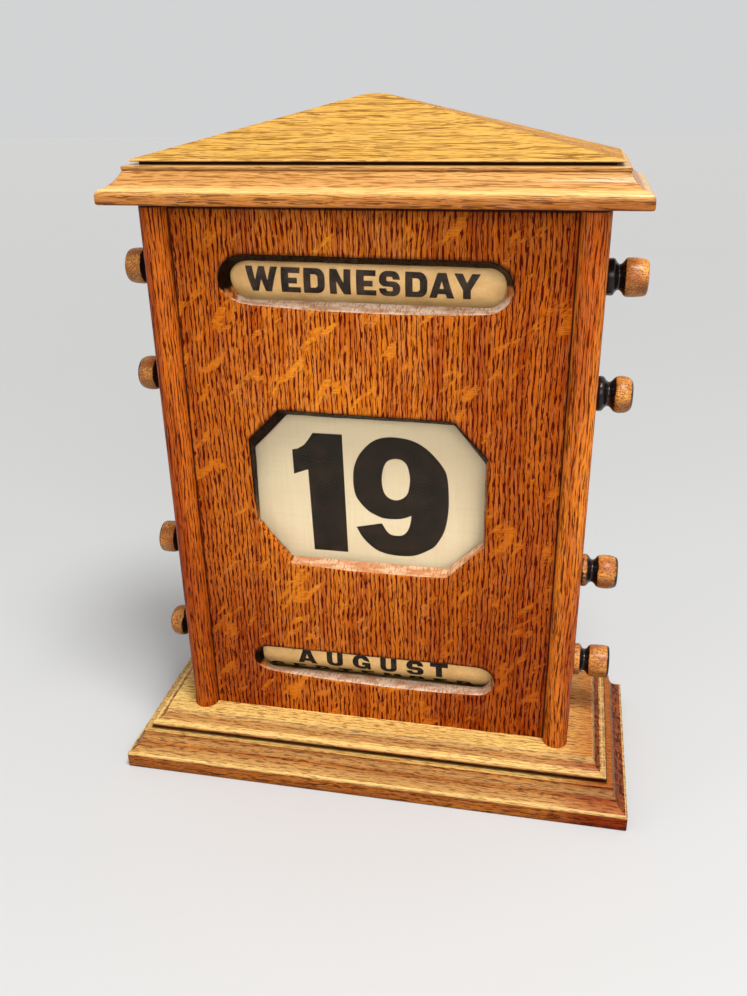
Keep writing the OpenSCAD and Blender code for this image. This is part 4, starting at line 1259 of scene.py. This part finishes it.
def wordOutlines(word, look):
    capHigh, letterWide, gap = look["capHigh"], look["letterWide"], look["gap"]
    outlines, x = [], 0.0
    for k, letter in enumerate(word):
        width, shapes = letters[letter]
        for shape in shapes:
            rounded = roundedOutline(shape)
            outlines.append([(x + p[0] * capHigh * letterWide, p[1] * capHigh) for p in rounded])
        x += width * capHigh * letterWide + gap + look["kerns"].get(word[k:k + 2], 0.0)
    width = x - gap
    return [[(px - width / 2, py - capHigh / 2) for px, py in outline] for outline in outlines]


def namesRoundDrum(name, look):
    # each word is filled flat, cut into strips and bent round the drum
    whole = bmesh.new()
    reach = drum["radius"] + drum["lift"]
    for k, word in enumerate(look["words"]):
        own = {**look, **look["own"].get(word, {})}
        flat = filledMesh(word, wordOutlines(word, own))
        flat.transform(Matrix.Rotation(radians(look["askew"]), 4, "Z"))
        shape = bmesh.new()
        shape.from_mesh(flat)
        bpy.data.meshes.remove(flat)
        cuts = int(own["capHigh"] / drum["strip"])
        for i in range(1, cuts):
            cutAcross(shape, 1, -own["capHigh"] / 2 + own["capHigh"] * i / cuts)
        # the first step differs from the rest, which share what's left of the turn
        rest = (360 - look["step"]) / (len(look["words"]) - 1)
        turn = radians(look["tilt"] - (look["step"] + rest * (k - 1) if k else 0.0))
        for vert in shape.verts:
            a = turn + vert.co.y / drum["radius"]
            vert.co = ((vert.co.x + own["middle"]) * mm, (drum["shaftY"] - reach * cos(a)) * mm,
                       (look["z"] + reach * sin(a)) * mm)
        shape.normal_update()
        bent = bpy.data.meshes.new(word)
        shape.to_mesh(bent)
        shape.free()
        whole.from_mesh(bent)
        bpy.data.meshes.remove(bent)
    mesh = bpy.data.meshes.new(name)
    axis = Vector((0, drum["shaftY"] * mm, look["z"] * mm))
    wrong = []
    for face in whole.faces:
        away = face.calc_center_median() - axis
        away.x = 0
        if face.normal.dot(away) < 0:
            wrong.append(face)
    bmesh.ops.reverse_faces(whole, faces=wrong)
    whole.to_mesh(mesh)
    whole.free()
    piece = linked(name, mesh)
    mesh.materials.append(finishes[look["ink"]])
    smoothPiece(piece, 50)
    return piece


def labelPiece(name, look):
    # paper glued round the drum, its ends meeting at the back
    sides, seam = drum["sides"], radians(drum["seam"])
    verts, faces = [], []
    for i in range(sides + 1):
        a = pi + seam / 2 + (2 * pi - seam) * i / sides
        for x in (-drum["width"] / 2, drum["width"] / 2):
            for r in (drum["radius"] - drum["paper"], drum["radius"]):
                y, z = drum["shaftY"] - r * cos(a), look["z"] + r * sin(a)
                verts.append(((x + drum["middle"]) * mm, y * mm, z * mm))
    for a in range(0, 4 * sides, 4):
        b = a + 4
        faces += [(a + 1, b + 1, b + 3, a + 3), (a, a + 2, b + 2, b),
                  (a, b, b + 1, a + 1), (a + 2, a + 3, b + 3, b + 2)]
    faces += [(0, 1, 3, 2), (b, b + 2, b + 3, b + 1)]
    piece = meshPiece(name, verts, faces, [finishes[look["paper"]]], sharp=40)
    outwards(piece.data)
    smoothPiece(piece, 40)
    return piece


for look in (dayNames, monthNames):
    base = look["node"].split("_")[0]
    paper = labelPiece(base + "_label_paper", look)
    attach(paper, look["shaft"])
    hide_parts(look["node"])
    names = namesRoundDrum(base + "_names", look)
    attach(names, look["shaft"])
    print("calendar:", base, "label lettered,", len(look["words"]), "names")


# linen date band and its numerals

band = dict(left=-65.4, right=60.6, bottom=106.55, top=194.45, back=-13.76, thick=0.24, sag=0.12,
            cols=64, rows=44, square=4.2, inkLift=0.04)
numerals = dict(
    one=[(-30.5, 114.8), (-13.9, 114.8), (-15.2, 174.8), (-28.9, 174.8), (-30.9, 171.7), (-33.1, 168.8),
         (-36.3, 166.7), (-39.0, 166.1), (-38.7, 153.9), (-31.8, 156.6)],
    nineOut=[(6.3, 174.8), (10.8, 174.8), (15.7, 174.1), (20.5, 172.2), (25.0, 168.9), (29.0, 164.6),
             (31.5, 161.1), (32.8, 158.1), (33.6, 152.9), (34.0, 145.3), (33.9, 140.8), (33.3, 134.9),
             (32.0, 129.2), (29.9, 124.8), (27.5, 121.1), (24.1, 118.7), (21.2, 117.0), (17.8, 115.6),
             (13.9, 115.0), (8.8, 115.0), (4.0, 115.7), (-0.3, 117.4), (-4.5, 120.9), (-7.3, 124.4),
             (-8.7, 127.2), (-9.5, 128.7, 0), (2.7, 131.5, 0), (3.8, 129.6), (5.0, 127.6), (6.7, 126.1),
             (8.8, 125.6), (11.8, 125.8), (13.9, 127.2), (15.4, 129.7), (16.3, 133.0), (16.7, 136.5, 0),
             (14.4, 135.4), (11.4, 134.4), (7.2, 134.0), (3.4, 134.2), (-0.4, 135.6), (-3.8, 137.6),
             (-6.7, 140.6), (-9.2, 144.3), (-10.3, 148.8), (-10.5, 153.3), (-10.2, 157.8), (-9.1, 161.8),
             (-7.4, 165.5), (-4.8, 168.9), (-1.9, 171.7), (1.8, 173.8)],
    nineIn=[(9.5, 164.5), (12.4, 163.9), (14.4, 162.1), (15.3, 159.5), (16.0, 155.6), (15.7, 151.1),
            (14.8, 147.5), (12.7, 145.1), (9.8, 143.9), (6.9, 144.4), (4.6, 146.3), (3.4, 149.3),
            (2.9, 153.3), (3.3, 157.4), (4.3, 161.0), (6.2, 163.5)],
)


def bandFace(x, z):
    # the stretched band bows forward a hair between its rollers and dips a little at its middle
    u = (x - band["left"]) / (band["right"] - band["left"])
    v = (z - band["bottom"]) / (band["top"] - band["bottom"])
    return (band["back"] - band["thick"] - band["sag"] * sin(pi * v) * (0.7 + 0.3 * sin(7 * u + 1.0))
            + 0.03 * sin(23 * u + 4 * v))


def bandPiece():
    cols, rows = band["cols"], band["rows"]
    verts, faces = [], []
    for back in (0, 1):
        for j in range(rows + 1):
            for i in range(cols + 1):
                x = band["left"] + (band["right"] - band["left"]) * i / cols
                z = band["bottom"] + (band["top"] - band["bottom"]) * j / rows
                verts.append((x * mm, (bandFace(x, z) + back * band["thick"]) * mm, z * mm))
    line, sheetSize = cols + 1, (cols + 1) * (rows + 1)
    for j in range(rows):
        for i in range(cols):
            a = j * line + i
            faces.append((a, a + 1, a + line + 1, a + line))
            faces.append((sheetSize + a, sheetSize + a + line, sheetSize + a + line + 1, sheetSize + a + 1))
    last = rows * line
    for run in (range(cols + 1), range(cols, last + line, line), range(last + cols, last - 1, -1),
                range(last, -1, -line)):
        faces += [(a, a + sheetSize, b + sheetSize, b) for a, b in zip(run, run[1:])]
    piece = meshPiece("date_band_linen", verts, faces, [finishes["bandLinen"]])
    outwards(piece.data)
    smoothPiece(piece, 40)
    return piece


def curvedOutline(points):
    # a smooth line through the points, with a corner at those that carry a 0
    outline = []
    count = len(points)
    for k in range(count):
        a, b = points[k], points[(k + 1) % count]
        before = a if len(a) == 3 else points[k - 1]
        after = b if len(b) == 3 else points[(k + 2) % count]
        for t in (0.0, 0.25, 0.5, 0.75):
            outline.append(smoothRun((before[:2], a[:2], b[:2], after[:2]), t))
    return outline


def numeralPiece(name, outlines):
    # filled flat, cut into squares and laid on the band
    mesh = filledMesh(name, outlines)
    shape = bmesh.new()
    shape.from_mesh(mesh)
    for axis, first, last in ((0, -10, 8), (1, 27, 41)):
        for i in range(first, last + 1):
            cutAcross(shape, axis, i * band["square"])
    for vert in shape.verts:
        x, z = vert.co.x, vert.co.y
        vert.co = (x * mm, (bandFace(x, z) - band["inkLift"]) * mm, z * mm)
    shape.normal_update()
    bmesh.ops.reverse_faces(shape, faces=[face for face in shape.faces if face.normal.y > 0])
    shape.to_mesh(mesh)
    shape.free()
    piece = linked(name, mesh)
    mesh.materials.clear()
    mesh.materials.append(finishes["dateInk"])
    smoothPiece(piece, 50)
    return piece


bandLinen = bandPiece()
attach(bandLinen, "case")
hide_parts("date_band")
ones = numeralPiece("date_numeral_one", [numerals["one"]])
nines = numeralPiece("date_numeral_nine", [curvedOutline(numerals[key]) for key in ("nineOut", "nineIn")])
for piece in (ones, nines):
    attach(piece, "case")
print("calendar: band stretched and numbered")


# floor and sky

half = surround["floorSize"] / 2
corners = [(-half, -half, 0), (half, -half, 0), (half, half, 0), (-half, half, 0)]
ground = meshPiece("studio_floor", corners, [(0, 1, 2, 3)], [floorMaterial()])
world = bpy.data.worlds.new("studio")
bpy.context.scene.world = world
world.use_nodes = True
world.node_tree.nodes.clear()
tree = world.node_tree
strength = seenRay(tree).slope(0.0, 1.0, surround["skyLight"], surround["skySeen"])
sky = addNode(tree, "ShaderNodeBackground", {"Color": surround["sky"], "Strength": strength})
addNode(tree, "ShaderNodeOutputWorld", {"Surface": sky.outputs[0]})
